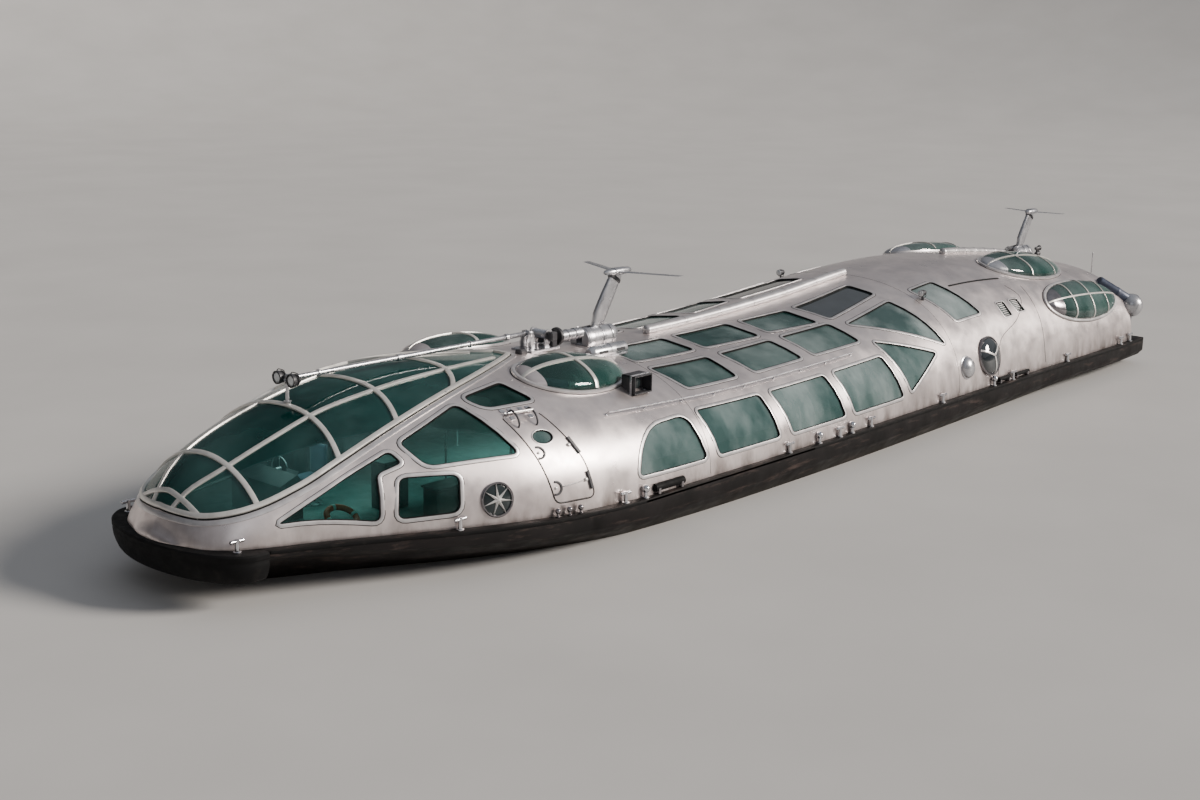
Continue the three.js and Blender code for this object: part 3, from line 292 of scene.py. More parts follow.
def two_sided(faces, count):
    return [tuple(f) for f in faces] + [tuple(int(i) + count for i in reversed(f)) for f in faces]


def shell(outer, inner, faces):
    """A closed part between two nets of points that share their faces."""
    count = len(outer)
    rim = [(j, i, i + count, j + count) for i, j in open_edges(faces)]
    return np.concatenate([outer, inner]), two_sided(faces, count) + rim


def band(points, normals, profile, closed=False):
    """A band that follows points on a surface. Its profile is (aside, out)."""
    points, normals, profile = (np.asarray(a, float) for a in (points, normals, profile))
    tangent = np.roll(points, -1, 0) - np.roll(points, 1, 0) if closed else np.gradient(points, axis=0)
    aside = unit(np.cross(unit(tangent), normals))
    grid = points[:, None] + profile[None, :, :1] * aside[:, None] + profile[None, :, 1:] * normals[:, None]
    return grid.reshape(-1, 3), net_faces(len(points), len(profile), ring=closed)


def bar_profile(half_width, height, depth=0.02, chamfer=0.006):
    """A rounded flat bar, from below the surface to its height."""
    w, h, c = half_width, height, chamfer
    return [(w, -depth), (w, h - c), (w - 0.3 * c, h - 0.3 * c), (w - c, h),
            (-w + c, h), (-w + 0.3 * c, h - 0.3 * c), (-w, h - c), (-w, -depth)]


def turns(count):
    return np.linspace(0, 2 * math.pi, count, endpoint=False)


def round_profile(radius, sides):
    return np.stack([radius * np.cos(turns(sides)), radius * np.sin(turns(sides))], -1)


def arc(radius, from_, to, count, lift=0.0):
    """Rows of (radius, height) on an arc between two angles, for turned pieces."""
    return [(radius * math.cos(a), lift + radius * math.sin(a)) for a in np.linspace(from_, to, count)]


def smooth_path(points, step=0.1):
    """A Catmull-Rom curve through points of any number of columns."""
    p = np.asarray(points, float)
    out = []
    for i in range(len(p) - 1):
        a, b, c, d = p[max(i - 1, 0)], p[i], p[i + 1], p[min(i + 2, len(p) - 1)]
        steps = max(2, int(np.linalg.norm(c - b) / step))
        for u in np.linspace(0, 1, steps, endpoint=False):
            out.append(0.5 * (2 * b + (c - a) * u + (2 * a - 5 * b + 4 * c - d) * u ** 2
                              + (3 * b - a - 3 * c + d) * u ** 3))
    return np.array([*out, p[-1]])


def pipe(points, radius, sides=12, closed=False):
    """A round pipe through points."""
    path = np.asarray(points, float)
    tangent = unit(np.roll(path, -1, 0) - np.roll(path, 1, 0)) if closed else unit(np.gradient(path, axis=0))
    normal = np.cross(tangent[0], Z if abs(tangent[0][2]) < 0.9 else X)
    normals = []
    for t in tangent:
        normal = unit(normal - np.dot(normal, t) * t)
        normals.append(normal)
    return band(path, normals, round_profile(radius, sides), closed)


def lathe(profile, place, axis, sides=24):
    """A turned piece. The profile is (radius, distance along the axis)."""
    axis = unit(np.asarray(axis, float))
    side = unit(np.cross(axis, Z if abs(axis[2]) < 0.9 else X))
    spokes = np.cos(turns(sides))[:, None] * side + np.sin(turns(sides))[:, None] * np.cross(axis, side)
    vertices = [np.asarray(place, float) + r * spokes + d * axis for r, d in profile]
    return np.concatenate(vertices), net_faces(len(profile), sides)


def disc_profile(radius, length, lip):
    """A short drum whose ends are turned in a little: the lip is (set-in, length)."""
    return [(radius - lip[0], 0), (radius, lip[1]), (radius, length - lip[1]), (radius - lip[0], length)]


def block(size, place, chamfer=0.01, turn=None):
    """A box with chamfered edges."""
    half = np.asarray(size, float) / 2
    cut = min(chamfer, half.min() * 0.9)
    signs = list(itertools.product((-1, 1), repeat=3))
    vertices = np.array([s * (half - cut * (np.arange(3) != k)) for s in signs for k in range(3)])

    def at(k, s, u, v, own):
        return 3 * int(((np.roll((s, u, v), k) > 0) * (4, 2, 1)).sum()) + own % 3

    faces = []
    for k in range(3):
        faces += [tuple(at(k, s, u, v, k) for u, v in ((-1, -1), (1, -1), (1, 1), (-1, 1))[::s]) for s in (-1, 1)]
        faces += [(at(k, -1, u, v, k + 1), at(k, 1, u, v, k + 1), at(k, 1, u, v, k + 2),
                   at(k, -1, u, v, k + 2))[::u * v]
                  for u, v in itertools.product((-1, 1), repeat=2)]
    faces += [(3 * i, 3 * i + 1, 3 * i + 2)[::int(np.prod(s))] for i, s in enumerate(signs)]
    if turn is not None:
        vertices = vertices @ np.array(turn.to_3x3()).T
    return outward((vertices + np.asarray(place, float), faces))


# Outlines on the skin, as rows of (x, angle)

NET_SCALE = 0.056  # metres for one degree, for an even net
FINE_FROM_X = 15.2
FINE_STEP = 0.06


def rounded(corners, radius=0.11, edge=0.3):
    """An outline with round corners. A corner may give its own radius."""
    scale = float(degree_length(np.mean([c[0] for c in corners])))
    flat = np.array([(c[0], c[1] * scale) for c in corners])
    points = []

    def straight_to(end):
        gap = end - points[-1]
        pieces = max(1, int(np.linalg.norm(gap) / edge))
        points.extend([points[-1] + gap * k / pieces for k in range(1, pieces)])

    for i, corner in enumerate(flat):
        before, after = flat[i - 1] - corner, flat[(i + 1) % len(flat)] - corner
        own = corners[i][2] if len(corners[i]) > 2 else radius
        cut = min(own, np.linalg.norm(before) * 0.48, np.linalg.norm(after) * 0.48)
        start, end = corner + cut * unit(before), corner + cut * unit(after)
        if points:
            straight_to(start)
        for u in np.linspace(0, 1, 5):
            points.append((1 - u) ** 2 * start + 2 * u * (1 - u) * corner + u * u * end)
    straight_to(points[0])
    return np.array(points) / (1, scale)


def grown(outline, distance):
    """A closed outline moved out by a distance, or in where that is negative."""
    scale = degree_length(outline[:, 0])[:, None]
    stretch = np.concatenate([np.ones_like(scale), scale], 1)
    flat = outline * stretch
    tangent = unit(np.roll(flat, -1, 0) - np.roll(flat, 1, 0))
    area = np.sum(flat[:, 0] * np.roll(flat[:, 1], -1) - np.roll(flat[:, 0], -1) * flat[:, 1])
    aside = np.stack([tangent[:, 1], -tangent[:, 0]], -1) * (1 if area > 0 else -1)
    return (flat + distance * aside) / stretch


def inside(points, outline):
    """Which points lie inside a closed outline."""
    x, y = points[:, :1], points[:, 1:]
    x1, y1 = outline[:, 0], outline[:, 1]
    x2, y2 = np.roll(x1, -1), np.roll(y1, -1)
    crosses = (y1 > y) != (y2 > y)
    rise = np.where(y2 == y1, 1e-12, y2 - y1)
    return (np.sum(crosses & (x < (x2 - x1) * (y - y1) / rise + x1), 1) % 2).astype(bool)


def within(points, loops):
    """Which points lie inside the first outline and outside the others."""
    keep = inside(points, loops[0])
    for hole in loops[1:]:
        keep &= ~inside(points, hole)
    return keep


def filled(outline, openings=(), step=0.2):
    """A net of triangles inside an outline and outside its openings: points and faces."""
    loops = [np.asarray(outline, float), *[np.asarray(o, float) for o in openings]]
    low, high = loops[0].min(0), loops[0].max(0)
    fine_x = max(low[0], FINE_FROM_X)
    xs = np.concatenate([np.arange(low[0], fine_x, step), np.arange(fine_x, high[0], FINE_STEP)])
    degrees = np.arange(low[1], high[1], step / NET_SCALE)
    net = np.stack(np.meshgrid(xs, degrees, indexing="ij"), -1).reshape(-1, 2)
    net = net[within(net, loops)]
    edge_points = np.concatenate(loops) * (1, NET_SCALE)
    near = np.zeros(len(net), bool)
    for chunk in np.array_split(edge_points, max(1, len(edge_points) // 200)):
        gap = np.linalg.norm(net[:, None] * (1, NET_SCALE) - chunk[None], axis=-1)
        near |= gap.min(1) < 0.35 * np.where(net[:, 0] > fine_x, FINE_STEP, step)
    points = np.concatenate([*loops, net[~near]]) * (1, NET_SCALE)
    edges, start = [], 0
    for loop in loops:
        edges += [(start + i, start + (i + 1) % len(loop)) for i in range(len(loop))]
        start += len(loop)
    result = delaunay_2d_cdt([Vector(p) for p in points], edges, [], 0, 1e-6)
    flat = np.array([tuple(v) for v in result[0]]) / (1, NET_SCALE)
    faces = np.array(result[2])
    return flat, faces[within(flat[faces].mean(1), loops)]


def sheets(outline, openings, outer, depth, step):
    """An outer and an inner net over the body, the outward normals and the faces."""
    flat, faces = filled(outline, openings, step)
    out, skin = out_of_body(*flat.T), on_body(*flat.T)
    top, low = skin + outer * out, skin + (outer - depth) * out
    a, b, c = (top[faces[:, k]] for k in range(3))
    flip = np.sum(np.cross(b - a, c - a) * out[faces[:, 0]], 1) < 0
    faces[flip] = faces[flip][:, ::-1]
    return top, low, out, faces


def panel(name, outline, openings, looks, outer=0.0, depth=WALL, step=0.2, body="boat"):
    """A curved panel of the body with openings, smooth on both sides. A second look is for its inner face."""
    top, low, out, faces = sheets(outline, openings, outer, depth, step)
    vertices, normals = [top, low], [out, -out]
    cells = two_sided(faces, len(top))
    slots = [0] * len(faces) + [len(looks) - 1] * len(faces)
    start = 2 * len(top)
    for i, j in open_edges(faces):
        vertices.append(np.array([top[i], top[j], low[j], low[i]]))
        normals.append(np.repeat(unit(np.cross(top[j] - top[i], out[i]))[None], 4, 0))
        cells.append((start + 1, start, start + 3, start + 2))
        slots.append(0)
        start += 4
    return add_object(name, np.concatenate(vertices), cells, looks, body, np.concatenate(normals), slots)


def ellipse(place, count=40, grow=0.0):
    """An ellipse on the body, from its tangent plane."""
    x, degrees, half_length, half_width = place[:4]
    centre, ahead, across, _ = frame_on_body(x, degrees)
    turn = turns(count)[:, None]
    points = centre + (half_length + grow) * np.cos(turn) * ahead + (half_width + grow) * np.sin(turn) * across
    return np.array([(p[0], angle_of(p)) for p in points])


def on_skin(outline, lift=0.0):
    """Points and normals of an outline, lifted off the skin."""
    normals = out_of_body(*outline.T)
    return on_body(*outline.T) + lift * normals, normals


def skin_band(outline, profile, closed=True):
    return band(*on_skin(np.asarray(outline, float)), profile, closed)


def lifted_path(line, lifts, step=0.05):
    """A smooth path over the skin through (x, angle) rows, each with its lift."""
    rows = np.array([(x, t * NET_SCALE, lift) for (x, t), lift in zip(line, lifts)])
    fine = smooth_path(rows, step)
    return lifted(fine[:, 0], fine[:, 1] / NET_SCALE, fine[:, 2])


# Materials

class Look:
    """A node material round one Principled shader, in the object's own coordinates."""

    def __init__(self, name, metallic=0.0, roughness=0.5, **sockets):
        self.material = bpy.data.materials.new(name)
        self.material.use_nodes = True
        self.tree = self.material.node_tree
        self.tree.nodes.clear()
        self.out = self.node("OutputMaterial")
        self.shader = self.node("BsdfPrincipled")
        for socket, value in dict(Metallic=metallic, Roughness=roughness, **sockets).items():
            self.shader.inputs[socket.replace("_", " ")].default_value = value
        self.feed(self.out.inputs["Surface"], self.shader.outputs[0])
        self.place = self.node("TexCoord").outputs["Object"]

    def node(self, kind):
        return self.tree.nodes.new("ShaderNode" + kind)

    def feed(self, socket, value):
        """Sets a socket to a number or a colour, or links an output to it."""
        if isinstance(value, (int, float)):
            socket.default_value = value
        elif isinstance(value, tuple):
            socket.default_value = (*value, 1)
        else:
            self.tree.links.new(value, socket)

    def noise(self, scale, detail=3.0, stretch=(1, 1, 1), rough=0.55):
        mapping, noise = self.node("Mapping"), self.node("TexNoise")
        mapping.inputs["Scale"].default_value = stretch
        for socket, value in (("Scale", scale), ("Detail", detail), ("Roughness", rough)):
            noise.inputs[socket].default_value = value
        self.feed(mapping.inputs["Vector"], self.place)
        self.feed(noise.inputs["Vector"], mapping.outputs[0])
        return noise.outputs["Fac"]

    def level(self, value, low, high, to_low=0.0, to_high=1.0):
        node = self.node("MapRange")
        for socket, number in zip(("From Min", "From Max", "To Min", "To Max"), (low, high, to_low, to_high)):
            node.inputs[socket].default_value = number
        self.feed(node.inputs["Value"], value)
        return node.outputs[0]

    def height(self):
        split = self.node("SeparateXYZ")
        self.feed(split.inputs[0], self.place)
        return split.outputs["Z"]

    def ramp(self, value, *stops):
        node = self.node("ValToRGB")
        for element, (position, colour) in zip(node.color_ramp.elements, stops):
            element.position = position
            element.color = (*colour, 1)
        self.feed(node.inputs[0], value)
        return node.outputs["Color"]

    def mix(self, factor, first, second):
        node = self.node("Mix")
        node.data_type = "RGBA"
        for socket, value in ((0, factor), (6, first), (7, second)):
            self.feed(node.inputs[socket], value)
        return node.outputs[2]

    def sum_or_product(self, operation, first, second, clamp=False):
        node = self.node("Math")
        node.operation, node.use_clamp = operation, clamp
        self.feed(node.inputs[0], first)
        self.feed(node.inputs[1], second)
        return node.outputs[0]

    def bump(self, value, distance, strength=0.5):
        node = self.node("Bump")
        node.inputs["Distance"].default_value = distance
        node.inputs["Strength"].default_value = strength
        self.feed(node.inputs["Height"], value)
        if self.shader.inputs["Normal"].links:
            self.feed(node.inputs["Normal"], self.shader.inputs["Normal"].links[0].from_socket)
        self.feed(self.shader.inputs["Normal"], node.outputs[0])

    def colour(self, output):
        self.feed(self.shader.inputs["Base Color"], output)

    def rough(self, output):
        self.feed(self.shader.inputs["Roughness"], output)


def silver_skin():
    look = Look("silver_skin", metallic=0.88, Specular_IOR_Level=0.5, Coat_Weight=0.10, Coat_Roughness=0.30)
    clouds = look.ramp(look.noise(0.45, 4), (0.30, (0.63, 0.56, 0.55)), (0.70, (0.80, 0.725, 0.705)))
    streaks = look.level(look.noise(2.4, 5, (1.0, 1.0, 0.13)), 0.42, 0.75, 0.0, 0.35)
    mottled = look.mix(streaks, clouds, (0.44, 0.395, 0.395))
    speckle = look.level(look.noise(9.0, 5), 0.35, 0.75, 0.0, 0.25)
    mottled = look.mix(speckle, mottled, (0.84, 0.79, 0.78))
    near_deck = look.level(look.height(), 0.8, 1.5, 1.0, 0.0)
    grime = look.level(look.noise(3.0, 5, (1, 1, 0.4)), 0.38, 0.68, 0.0, 0.85)
    mottled = look.mix(look.sum_or_product("MULTIPLY", near_deck, grime), mottled, (0.17, 0.135, 0.12))
    blots = look.level(look.noise(1.3, 6, (1, 1, 1), 0.7), 0.60, 0.72, 0.0, 0.28)
    look.colour(look.mix(blots, mottled, (0.34, 0.30, 0.30)))
    look.rough(look.level(look.noise(1.7, 5), 0.3, 0.7, 0.27, 0.45))
    look.bump(look.noise(0.7, 2), 0.012)
    look.bump(look.noise(26.0, 2, (1, 1, 0.2)), 0.0010)
    return look.material


def trim(name, low, high, metallic=0.8, roughness=(0.28, 0.45), scale=3.0, wear=(0.22, 0.20, 0.19), amount=0.25):
    """Satin metal or paint with clouds, stains and uneven gloss."""
    look = Look(name, metallic=metallic)
    clouds = look.ramp(look.noise(scale, 4), (0.3, low), (0.7, high))
    stain = look.level(look.noise(scale * 2.3, 5, (1, 1, 0.5)), 0.52, 0.78, 0.0, amount)
    look.colour(look.mix(stain, clouds, wear))
    look.rough(look.level(look.noise(scale * 1.7, 3), 0.3, 0.7, *roughness))
    look.bump(look.noise(scale * 12, 2), 0.0008)
    return look.material


def hull_paint():
    look = Look("hull_paint", Specular_IOR_Level=0.12)
    clouds = look.ramp(look.noise(1.1, 4), (0.3, (0.0055, 0.0050, 0.0050)), (0.7, (0.014, 0.012, 0.012)))
    scuffs = look.level(look.noise(2.6, 6, (0.35, 1, 2.2), 0.7), 0.54, 0.74, 0.0, 0.60)
    worn = look.mix(scuffs, clouds, (0.105, 0.074, 0.064))
    wet = look.level(look.height(), 0.0, 0.30, 0.7, 0.0)
    worn = look.mix(wet, worn, (0.020, 0.018, 0.014))
    below = look.level(look.height(), -0.06, 0.02, 1.0, 0.0)
    growth = look.ramp(look.noise(3.5, 5), (0.35, (0.10, 0.020, 0.014)), (0.7, (0.055, 0.030, 0.018)))
    look.colour(look.mix(below, worn, growth))
    look.rough(look.level(look.noise(2.0, 4), 0.3, 0.7, 0.42, 0.70))
    look.bump(look.noise(1.3, 3), 0.02, 0.4)
    look.bump(look.noise(30.0, 3), 0.0015)
    return look.material


def rubber(name, tone):
    look = Look(name, Specular_IOR_Level=0.12)
    worn = look.level(look.noise(4.0, 5), 0.55, 0.75, 0.0, 0.5)
    look.colour(look.mix(worn, (tone, tone, tone * 1.05), (tone * 4.5, tone * 4, tone * 3.6)))
    look.rough(look.level(look.noise(6.0, 3), 0.3, 0.7, 0.55, 0.75))
    look.bump(look.noise(45.0, 3), 0.001, 0.6)
    return look.material


def window_glass(name, tint, body_low, body_high, film, film_colour=(0.30, 0.36, 0.35), amount=0.6):
    """Tinted glass: a clear tint under a film and a glossy face, in drifting clouds and streaks. The film is dust, and
    where its colour is pale, as on the side and roof glass, a painted reflection of the sky.
    """
    look = Look(name, Specular_IOR_Level=0.9, IOR=1.8)
    # Soft streaky mask of dust and painted sky reflection: where it is high, the film's colour covers the glass
    dust_and_reflection = look.level(look.noise(0.55, 5, (1, 1, 0.45), 0.6), 0.38, 0.68)
    body = look.ramp(look.noise(0.9, 3), (0.3, body_low), (0.7, body_high))
    look.colour(look.mix(look.sum_or_product("MULTIPLY", dust_and_reflection, amount), body, film_colour))
    look.rough(look.level(look.noise(5.0, 5), 0.4, 0.8, 0.03, 0.11))
    look.bump(look.noise(0.6, 1), 0.012, 0.30)
    clear, mixer, fresnel = (look.node(kind) for kind in ("BsdfTransparent", "MixShader", "Fresnel"))
    clear.inputs["Color"].default_value = (*tint, 1)
    fresnel.inputs["IOR"].default_value = 1.5
    veil = look.sum_or_product("ADD", look.level(dust_and_reflection, 0.0, 1.0, *film), fresnel.outputs[0], clamp=True)
    for socket, output in zip(mixer.inputs, (veil, clear.outputs[0], look.shader.outputs[0])):
        look.feed(socket, output)
    look.feed(look.out.inputs["Surface"], mixer.outputs[0])
    look.material.surface_render_method = "DITHERED"
    return look.material


def weave(name, thread, gap):
    look = Look(name, roughness=0.85, Sheen_Weight=0.3, Sheen_Roughness=0.5)
    waves = []
    for direction in "XY":
        wave = look.node("TexWave")
        wave.bands_direction = direction
        wave.inputs["Scale"].default_value = 190.0
        wave.inputs["Distortion"].default_value = 0.6
        look.feed(wave.inputs["Vector"], look.place)
        waves.append(wave.outputs["Color"])
    threads = look.mix(0.5, *waves)
    worn = look.level(look.noise(5.0, 4), 0.4, 0.8, 0.0, 0.35)
    look.colour(look.mix(worn, look.mix(threads, gap, thread), tuple(min(1, 1.6 * c) for c in thread)))
    look.bump(threads, 0.0008, 0.6)
    return look.material


SKIN = silver_skin()
HULL_PAINT = hull_paint()
# Black rubber for the gaskets, seals and seams, and also for the thin black strips that paint shadow lines round the
# window rims, the canopy trim and the dome collars
SEALANT_AND_SHADE = rubber("sealant_and_painted_shade", 0.012)
FENDER = rubber("fender_rubber", 0.005)
SEAT = weave("seat_weave", (0.045, 0.070, 0.115), (0.02, 0.03, 0.055))
# Each trim: name, darker and lighter colour, metal, roughness, then what isn't as usual
LINING = trim("cabin_lining", (0.50, 0.56, 0.54), (0.64, 0.68, 0.66), 0.0, (0.6, 0.8))
RIM = trim("window_rim", (0.50, 0.48, 0.485), (0.66, 0.64, 0.64), 0.75, (0.30, 0.42))
CREAM = trim("canopy_trim", (0.62, 0.60, 0.56), (0.78, 0.76, 0.72), 0.55, (0.30, 0.42))
STEEL = trim("satin_steel", (0.42, 0.42, 0.44), (0.60, 0.60, 0.62), 0.9, (0.22, 0.38))
CHROME = trim("polished_steel", (0.58, 0.58, 0.60), (0.74, 0.74, 0.76), 1.0, (0.12, 0.22))
# Pale steel with little metal in it, so that it shows bright from every side: a painted highlight on the star's rays,
# the ball's bars and the door pins
PAINTED_SHINE_STEEL = trim("painted_shine_steel", (0.72, 0.70, 0.68), (0.84, 0.82, 0.79), 0.4, (0.22, 0.34))
HOOD = trim("dark_steel", (0.20, 0.19, 0.20), (0.34, 0.32, 0.33), 0.95, (0.14, 0.26), wear=(0.14, 0.10, 0.10))
BRONZE = trim("cast_bronze", (0.34, 0.22, 0.08), (0.50, 0.34, 0.14), 1.0, (0.30, 0.5), wear=(0.10, 0.16, 0.10))
DARK = trim("dark_fitting", (0.030, 0.030, 0.034), (0.060, 0.060, 0.066), 0.3, (0.40, 0.60))
NAVY = trim("dark_blue_fitting", (0.035, 0.045, 0.075), (0.07, 0.085, 0.13), 0.4, (0.35, 0.5))
ENGINE_PAINT = trim("engine_paint", (0.20, 0.24, 0.21), (0.28, 0.32, 0.28), 0.1, (0.45, 0.65))
FLOOR_MAT = trim("cabin_floor", (0.07, 0.10, 0.10), (0.15, 0.19, 0.19), 0.0, (0.4, 0.6))
ORANGE = trim("buoy_orange", (0.80, 0.08, 0.015), (0.95, 0.14, 0.03), 0.0, (0.45, 0.6), amount=0.1)
WHITE_BAND = trim("buoy_band", (0.70, 0.70, 0.68), (0.80, 0.80, 0.78), 0.0, (0.5, 0.7))
BLACK_LENS = trim("black_lens", (0.008, 0.012, 0.013), (0.025, 0.034, 0.036), 0.0, (0.06, 0.16),
                  wear=(0.05, 0.055, 0.055))
LENS = trim("lamp_lens", (0.55, 0.57, 0.58), (0.75, 0.77, 0.78), 0.2, (0.05, 0.12), scale=9)
VENT_PANE = trim("vent_pane", (0.055, 0.080, 0.074), (0.11, 0.145, 0.135), 0.2, (0.12, 0.25), scale=5)
# Each glass: name, tint of a face, darker and lighter body, how much film covers, its colour and its share. The pale
# film colour of the side and roof glass is a painted sky reflection over the dust
SIDE_GLASS = window_glass("side_glass", (0.50, 0.73, 0.70), (0.055, 0.115, 0.110), (0.095, 0.165, 0.160),
                          (0.34, 0.54), (0.52, 0.58, 0.58), 0.85)
FRONT_GLASS = window_glass("front_glass", (0.54, 0.86, 0.81), (0.008, 0.050, 0.044), (0.020, 0.085, 0.075),
                           (0.03, 0.22), (0.12, 0.24, 0.22))
ROOF_GLASS = window_glass("roof_glass", (0.50, 0.76, 0.73), (0.015, 0.070, 0.064), (0.040, 0.115, 0.105),
                          (0.26, 0.46), (0.34, 0.42, 0.41), 0.75)
CANOPY_GLASS = window_glass("canopy_glass", (0.66, 0.90, 0.87), (0.006, 0.070, 0.064), (0.020, 0.135, 0.122),
                            (0.10, 0.30), (0.08, 0.22, 0.20))
DOME_GLASS = window_glass("dome_glass", (0.55, 0.80, 0.75), (0.010, 0.060, 0.052), (0.030, 0.095, 0.085),
                          (0.22, 0.50))
DARK_GLASS = window_glass("dark_glass", (0.16, 0.22, 0.24), (0.006, 0.012, 0.014), (0.014, 0.022, 0.026),
                          (0.70, 0.88), (0.03, 0.035, 0.04))

# Windows, port side. Each corner: x, angle up the section, own corner radius where it has one
WINDOWS = {
    "front_triangle": [(15.04, 15, 0.10), (13.27, 6, 0.14), (13.15, 29, 0.12), (12.64, 32, 0.10), (12.76, 39, 0.10),
                       (13.57, 32, 0.30)],
    "front_low": [(12.95, 6, 0.16), (12.79, 25, 0.16), (11.72, 22, 0.16), (11.83, 6, 0.16)],
    "front_high": [(12.51, 42, 0.16), (10.96, 56, 0.16), (10.39, 27, 0.18), (12.24, 28, 0.20)],
    "front_roof": [(10.71, 59, 0.22), (9.50, 65, 0.10), (9.23, 52, 0.16), (10.47, 51, 0.22)],
    "side_1": [(7.52, 8, 0.16), (7.30, 20, 0.5), (6.75, 30, 0.9), (5.60, 32, 0.30), (5.36, 8, 0.16)],
    "side_2": [(5.15, 33), (4.92, 8), (2.74, 8), (2.93, 33)],
    "side_3": [(2.51, 33), (2.24, 8), (0.11, 8), (0.38, 33)],
    "side_4": [(-0.02, 33), (-0.30, 8), (-2.50, 8), (-2.11, 33)],
    "side_5": [(-2.27, 42), (-2.89, 9), (-4.44, 24)],
    "roof_1": [(5.15, 62), (4.84, 46), (3.09, 46), (3.17, 62)],
    "roof_2": [(2.68, 62), (2.42, 46), (0.56, 46), (0.79, 62)],
    "roof_3": [(0.30, 62), (0.08, 46), (-1.83, 45), (-1.58, 61)],
    "crown_1": [(5.12, 83), (5.19, 69), (3.11, 69), (3.11, 83)],
    "crown_2": [(2.66, 83), (2.74, 69), (0.80, 67), (0.80, 82)],
    "crown_3": [(0.32, 81), (0.39, 68), (-1.38, 64), (-1.30, 79)],
    "crown_4": [(-1.72, 79), (-1.90, 64), (-4.38, 69), (-4.34, 81)],
    "rear_side": [(-2.13, 57), (-5.02, 27), (-4.38, 61)],
    "rear_roof": [(-5.59, 63), (-6.07, 37), (-7.38, 37), (-6.79, 64)],
    "vent_1": [(-8.40, 40, 0.05), (-8.44, 31, 0.05), (-8.85, 31, 0.05), (-8.80, 40, 0.05)],
    "vent_2": [(-9.13, 40, 0.05), (-9.24, 32, 0.05), (-9.63, 32, 0.05), (-9.56, 40, 0.05)],
}
# Columns: x, angle, half length, half width, height
DOMES = {
    "dome_fwd": (7.43, 66, 1.42, 0.80, 0.34),
    "dome_aft": (-12.05, 67, 1.95, 0.80, 0.33),
    "dome_side": (-13.15, 33, 2.15, 0.64, 0.30),
}
STAR = (11.08, 9, 0.31, 0.31, 0.07)
BALL = (-6.98, 13.5, 0.50, 0.48, 0.17)
BOSS = (-5.72, 11.5, 0.27, 0.28, 0.0)
DOOR_WINDOW = (9.70, 33, 0.24, 0.15)
DOOR_GAP = 0.012

OUTLINES = {name: rounded(corners) for name, corners in WINDOWS.items()}
PANES = [name for name in OUTLINES if not name.startswith("vent")]
FRONT_PANES = [name for name in PANES if name.startswith("front")]
VENTS = [name for name in OUTLINES if name.startswith("vent")]
DOOR = rounded([(10.32, 46), (10.03, 22), (9.83, 4), (8.83, 4), (8.96, 20), (9.43, 46)], 0.16, edge=0.12)

# The port half of the canopy's edge, from its aft point to the nose. Columns: x, angle
CANOPY_RING = np.array([
    (7.70, 88), (9.50, 74), (10.60, 66), (12.30, 53), (13.70, 41),
    (14.50, 34), (15.30, 32), (15.85, 38), (16.11, 50), (16.25, 80),
])
ROUNDED_FROM_X, ROUNDED_OVER = 15.4, 0.4


def rounded_at_nose(values, x, passes):
    """Values along the closed ring, each drawn to its neighbours near the nose."""
    share = np.clip((np.asarray(x) - ROUNDED_FROM_X) / ROUNDED_OVER, 0, 1)[:, None]
    for _ in range(passes):
        values = values + share * 0.25 * (np.roll(values, 1, 0) + np.roll(values, -1, 0) - 2 * values)
    return values


def net_of(points):
    """(x, angle) of points on or near the body."""
    return np.array([(min(p[0], NOSE_X - 0.01), angle_of((min(p[0], NOSE_X - 0.01), p[1], p[2]))) for p in points])


def whole_ring():
    """The canopy's whole edge in even steps, round at the nose."""
    u = np.linspace(0, 1, 60)
    xs = CANOPY_RING[0, 0] + (CANOPY_RING[-1, 0] - CANOPY_RING[0, 0]) * (1 - (1 - u) ** 2.2)
    port = np.stack([xs, along(CANOPY_RING, 1, xs)], -1)
    rough = on_body(*np.concatenate([port, SIDES[1][2](port)[::-1]]).T)
    reach = np.concatenate([[0], np.cumsum(np.linalg.norm(np.diff(rough, axis=0), axis=1))])
    even = np.linspace(0, reach[-1], int(reach[-1] / 0.06))
    points = np.stack([np.interp(even, reach, rough[:, k]) for k in range(3)], -1)
    return net_of(rounded_at_nose(points, points[:, 0], 24))


RING = whole_ring()
RING_POINTS = on_body(*RING.T)
RING_NORMALS = unit(rounded_at_nose(out_of_body(*RING.T), RING[:, 0], 30))


def ring_line(distance):
    """The canopy's edge, moved out along the skin by a distance."""
    tangent = unit(np.roll(RING_POINTS, -1, 0) - np.roll(RING_POINTS, 1, 0))
    aside = np.cross(tangent, RING_NORMALS)
    aside *= np.sign(np.sum(aside * (RING_POINTS - RING_POINTS.mean(0)), 1).sum())
    return net_of(rounded_at_nose(RING_POINTS + distance * aside, RING_POINTS[:, 0], 6))


def ring_band(distance, profile):
    return band(on_body(*ring_line(distance).T), RING_NORMALS, profile, True)


# Skin

def section(from_x, to_x):
    """The outline of the skin between two stations."""
    rise = np.linspace(0, 180, 61)
    run = np.linspace(from_x, to_x, max(3, int((to_x - from_x) / 0.2)))[1:-1]
    return np.concatenate([
        np.stack([np.full(61, from_x), rise], -1), np.stack([run, np.full(len(run), 180.0)], -1),
        np.stack([np.full(61, to_x), rise[::-1]], -1), np.stack([run[::-1], np.zeros(len(run))], -1)])


def openings_between(from_x, to_x):
    """Every opening that lies between two stations, on both sides."""
    loops = [*OUTLINES.values(), *[ellipse(place, grow=-0.05) for place in DOMES.values()],
             ellipse(STAR, 32), ellipse(BALL, 32), DOOR]
    loops = [loop for loop in loops if loop[:, 0].min() > from_x and loop[:, 0].max() < to_x]
    both = [f(loop) for _, _, f in SIDES for loop in loops]
    return both + [RING] if from_x < CANOPY_RING[0, 0] < to_x else both


